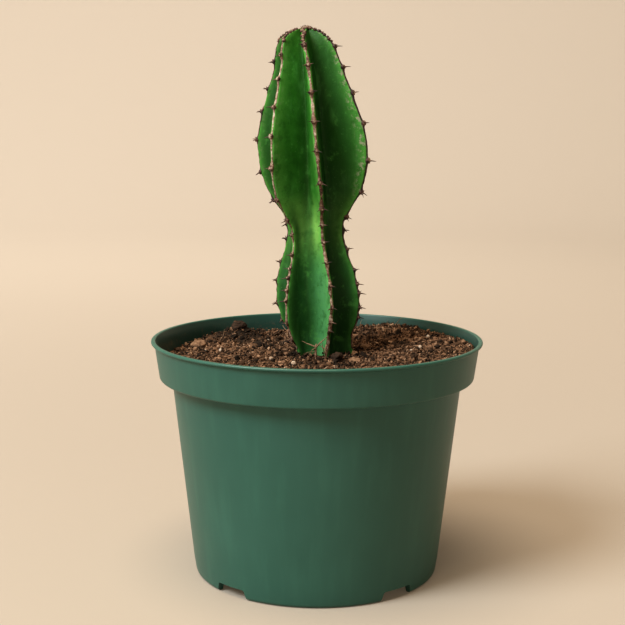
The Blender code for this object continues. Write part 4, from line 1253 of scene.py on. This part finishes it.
def spine_pair(shape, centre, along, out, across, size, length, tone, generator):
    """Adds a cushion's two long spines and its small ones."""
    for side in (-1, 1):
        spread = generator.uniform(0.60, 0.85)
        direction = across * side * spread + out * generator.uniform(0.50, 0.75)
        direction = unit(direction + along * generator.uniform(-0.20, 0.10))
        start = centre + direction * size * 0.35
        reach = length * generator.uniform(0.75, 1.15)
        thickness = SPINE_THICKNESS * min(1, length / (3 * MM))
        add_spine(shape, start, direction, -along, reach, thickness, tone)
        if generator.uniform() < 0.7:
            small = unit(across * side * 0.5 + out * 0.5 + along * generator.uniform(0.3, 0.9))
            start = centre + small * size * 0.4
            add_spine(shape, start, small, along, reach * 0.38, SMALL_SPINE_THICKNESS, tone)


def make_margin(rib, finish):
    """One rib's horny margin with its cushions and spines."""
    generator = np.random.default_rng(400 + rib)
    line, shares = crest_line(rib)
    along, out, across = line_frames(rib, line, shares)
    shape = Shape()
    add_strip(shape, rib, line, shares, out, across)
    for share in (*CUSHION_SHARES[rib], *APEX_CUSHIONS):
        index = int(np.argmin(np.abs(shares - share)))
        top = share in APEX_CUSHIONS
        size = (generator.uniform(0.65, 1.20) if top else generator.uniform(1.25, 1.55)) * MM
        if share < WAIST_SHARE:
            size *= 0.76
        elif rib == RIB_D:
            size *= 1.15
        tone = smooth_value(MARGIN_TONES[rib], share) * 0.15 + 0.17 + generator.uniform(-0.05, 0.05)
        centre = line[index] + out[index] * 0.25 * MM
        if top:
            centre = centre + across[index] * generator.uniform(-0.7, 0.7) * MM
        add_cushion(shape, centre, along[index], out[index], across[index], size, tone, generator)
        length = (1.0 if top else 3.4) * MM
        spine_pair(shape, centre, along[index], out[index], across[index], size, length,
                   0.10 + generator.uniform(-0.06, 0.10), generator)
    name = f"spine_margin_{rib + 1}"
    shape.make("horn_margin_" + "ABCDEF"[rib], finish, [name])


def make_crown(finish):
    """The tuft of young spines and cushions where the ribs meet."""
    generator = np.random.default_rng(81)
    low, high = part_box("crown_tuft")
    base = np.array(((low.x + high.x) / 2, (low.y + high.y) / 2, low.z))
    shape = Shape()
    up = np.array([0.0, 0.0, 1.0])
    for index in range(CROWN_SPINES):
        azimuth = index * GOLDEN_ANGLE
        radius = CROWN_REACH * math.sqrt((index + 0.5) / CROWN_SPINES)
        out = np.array([math.cos(azimuth), math.sin(azimuth), 0.0])
        lean = unit(out * radius / CROWN_REACH + up)
        side = unit(np.cross(lean, up + 0.01))
        centre = base + out * radius + up * (0.75 - 0.75 * (radius / CROWN_REACH) ** 2) * MM
        add_cushion(shape, centre - up * 0.4 * MM, np.cross(side, lean), lean, side, 0.80 * MM,
                    generator.uniform(0.18, 0.40), generator)
        length = generator.uniform(0.5, 0.9) * MM
        tone = generator.uniform(0.12, 0.36)
        add_spine(shape, centre, lean, out, length, SMALL_SPINE_THICKNESS, tone)
    shape.make("crown_spines", finish, ["crown_tuft"])


# Loose pieces


def refined(node, level, rough, size, seed):
    """A finer, rougher copy of a CAD node's mesh."""
    shape = bmesh.new()
    shape.from_mesh(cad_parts[node].data)
    bmesh.ops.remove_doubles(shape, verts=shape.verts, dist=0.01 * MM)
    holder = put("coarse", as_mesh("coarse", shape))
    divide = holder.modifiers.new("divide", "SUBSURF")
    divide.levels = divide.render_levels = level
    result = settled(holder)
    points = np.array([v.co[:] for v in result.vertices])
    normals = np.array([v.normal[:] for v in result.vertices])
    push = rough * (fractal(points, size, seed) + 0.35)
    result.vertices.foreach_set("co", (points + normals * push[:, None]).ravel())
    result.update()
    return result


# Chips coated in dark peat.
PEATY_BARK = ("bark_3", "bark_5")


def make_grains():
    """The perlite grains and bark chips, each a finer copy of its CAD solid."""
    perlite = perlite_finish()
    bark, peaty = bark_finish("bark", -0.04), bark_finish("peaty_bark", 0.22)
    for node in sorted(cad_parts):
        number = node.split("_")[-1]
        if node.startswith("perlite"):
            mesh = refined(node, 3, 0.16 * MM, 0.8 * MM, 60 + int(number))
            place_piece("grain_" + number, mesh, perlite, [node])
        elif node.startswith("bark"):
            dark = node in PEATY_BARK
            mesh = refined(node, 4, (1.30 if dark else 0.55) * MM, 2.1 * MM, 90 + int(number))
            place_piece("chip_" + number, mesh, peaty if dark else bark, [node])


def make_roots():
    """The dry root stubs round the foot of the stem, with side rootlets."""
    finish = root_finish()
    for node in sorted(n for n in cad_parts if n.startswith("root_stub")):
        generator = np.random.default_rng(500 + int(node[-1]))
        low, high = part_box(node)
        bottom = np.array([(low.x + high.x) / 2, (low.y + high.y) / 2, low.z])
        lean = unit(np.array([stem_axis(0.0).x, 0.0, 0.0]) - bottom * (1, 1, 0))
        t = np.linspace(0, 1, 22)
        path = bottom + np.outer(t, [0, 0, high.z - low.z]) + np.outer(t - 0.5, lean) * 0.6 * MM
        wander = np.column_stack([noise(np.outer(t, (3, 0, 0)) + index, 0.5, 61) for index in (0, 9)])
        path[:, :2] += wander * 0.30 * MM
        thickness = (high.x - low.x) / 2 * 1.15
        shape = Shape()
        radii = thickness * (1 - 0.55 * t) * (0.85 + 0.2 * noise(np.outer(t, (9, 0, 0)), 1.0, 62))
        tube(shape, path, radii, 12)
        for number in range(5):
            at = generator.integers(6, 19)
            step = generator.normal(0, 1, 3) + lean * 0.3
            step[2] = abs(step[2]) * 0.5
            long = number < 2
            step *= (0.95 if long else 0.45) * MM / np.linalg.norm(step)
            if long:
                step[2] = abs(step[2]) + 0.5 * MM
            twig = [path[at]]
            for _ in range(6):
                step = step + generator.normal(0, 0.12, 3) * MM
                twig.append(twig[-1] + step)
            tube(shape, twig, np.linspace(0.42 if long else 0.26, 0.12, 7) * MM, 6)
        shape.make(node.replace("root_stub", "dry_root"), finish, [node])


# Stage


def make_backdrop():
    """A round seamless sweep of paper: the floor, a wide curve and the wall."""
    wall, rise = FLOOR_REACH + CURVE_RADIUS, WALL_TOP - CURVE_RADIUS
    section = [(FLOOR_REACH * i / 8, 0.0) for i in range(9)]
    section += [(FLOOR_REACH + CURVE_RADIUS * math.sin(a), CURVE_RADIUS * (1 - math.cos(a)))
                for a in [math.pi / 2 * i / 24 for i in range(1, 25)]]
    section += [(wall, CURVE_RADIUS + rise * i / 4) for i in range(1, 5)]
    shape = spun(section, BACKDROP_SEGMENTS, BACKDROP_MERGE)
    bmesh.ops.recalc_face_normals(shape, faces=shape.faces)
    mesh = as_mesh("backdrop", shape)
    mesh.materials.append(backdrop_finish())
    mesh.shade_smooth()
    put("backdrop", mesh)


def add_light(name, azimuth, elevation, distance, size, power, tint, aim=(0, 0, 0.12)):
    """An area light that looks at the object from a direction."""
    lamp = bpy.data.lights.new(name, "AREA")
    lamp.shape, lamp.size = "DISK", size
    lamp.energy, lamp.color = power, tint
    item = put(name, lamp)
    turn, rise = math.radians(azimuth), math.radians(elevation)
    direction = Vector((math.sin(turn) * math.cos(rise), -math.cos(turn) * math.cos(rise),
                        math.sin(rise)))
    item.location = Vector(aim) + direction * distance
    item.rotation_mode = "QUATERNION"
    item.rotation_quaternion = direction.to_track_quat("Z", "Y")
    item.visible_camera = False


def make_lights():
    """A soft key from the left and a little in front, warm light from high up, and a wall wash."""
    add_light("key_light", -54, 43, 3.3, 1.50, 128.0, (0.92, 0.98, 1.0))
    add_light("high_light", -45, 78, 3.0, 2.2, 88.0, (1.0, 0.82, 0.62))
    add_light("wall_light", -6, 42, 2.0, 1.8, 13.0, (1.0, 0.92, 0.84), (-0.3, 3.0, 0.05))
    world = bpy.data.worlds.new("studio")
    world.use_nodes = True
    background = world.node_tree.nodes["Background"]
    background.inputs["Color"].default_value = (1.0, 0.76, 0.54, 1.0)
    background.inputs["Strength"].default_value = 0.17
    bpy.context.scene.world = world


def make_camera():
    """The photograph's viewpoint: a little above the rim, looking slightly down."""
    data = bpy.data.cameras.new("camera")
    data.lens, data.sensor_width = 72.0, 36.0
    item = put("camera", data)
    pitch, yaw, roll = math.radians(8.754), math.radians(-0.21), math.radians(0.249)
    forward = Vector((math.sin(yaw) * math.cos(pitch), math.cos(yaw) * math.cos(pitch),
                      -math.sin(pitch)))
    level = Vector((math.cos(yaw), -math.sin(yaw), 0.0))
    above = level.cross(forward)
    right = level * math.cos(roll) + above * math.sin(roll)
    up = above * math.cos(roll) - level * math.sin(roll)
    turn = Matrix((right, up, -forward)).transposed().to_4x4()
    item.matrix_world = Matrix.Translation((0.0, -617.3 * MM, 225.85 * MM)) @ turn
    bpy.context.scene.camera = item


def main():
    """Builds every piece, the stage, the lights and the camera."""
    bpy.context.scene.view_settings.view_transform = "Standard"
    bpy.context.scene.view_settings.look = "Medium High Contrast"
    make_camera()
    make_backdrop()
    make_lights()
    make_pot()
    mix, horn = mix_finish(), horn_finish()
    make_mix_body(mix)
    make_crumbs(mix)
    make_fibres(mix)
    make_flakes(mix)
    make_stem(skin_finish())
    for rib in range(len(RIB_AZIMUTHS)):
        make_margin(rib, horn)
    make_crown(horn)
    make_grains()
    make_roots()


main()
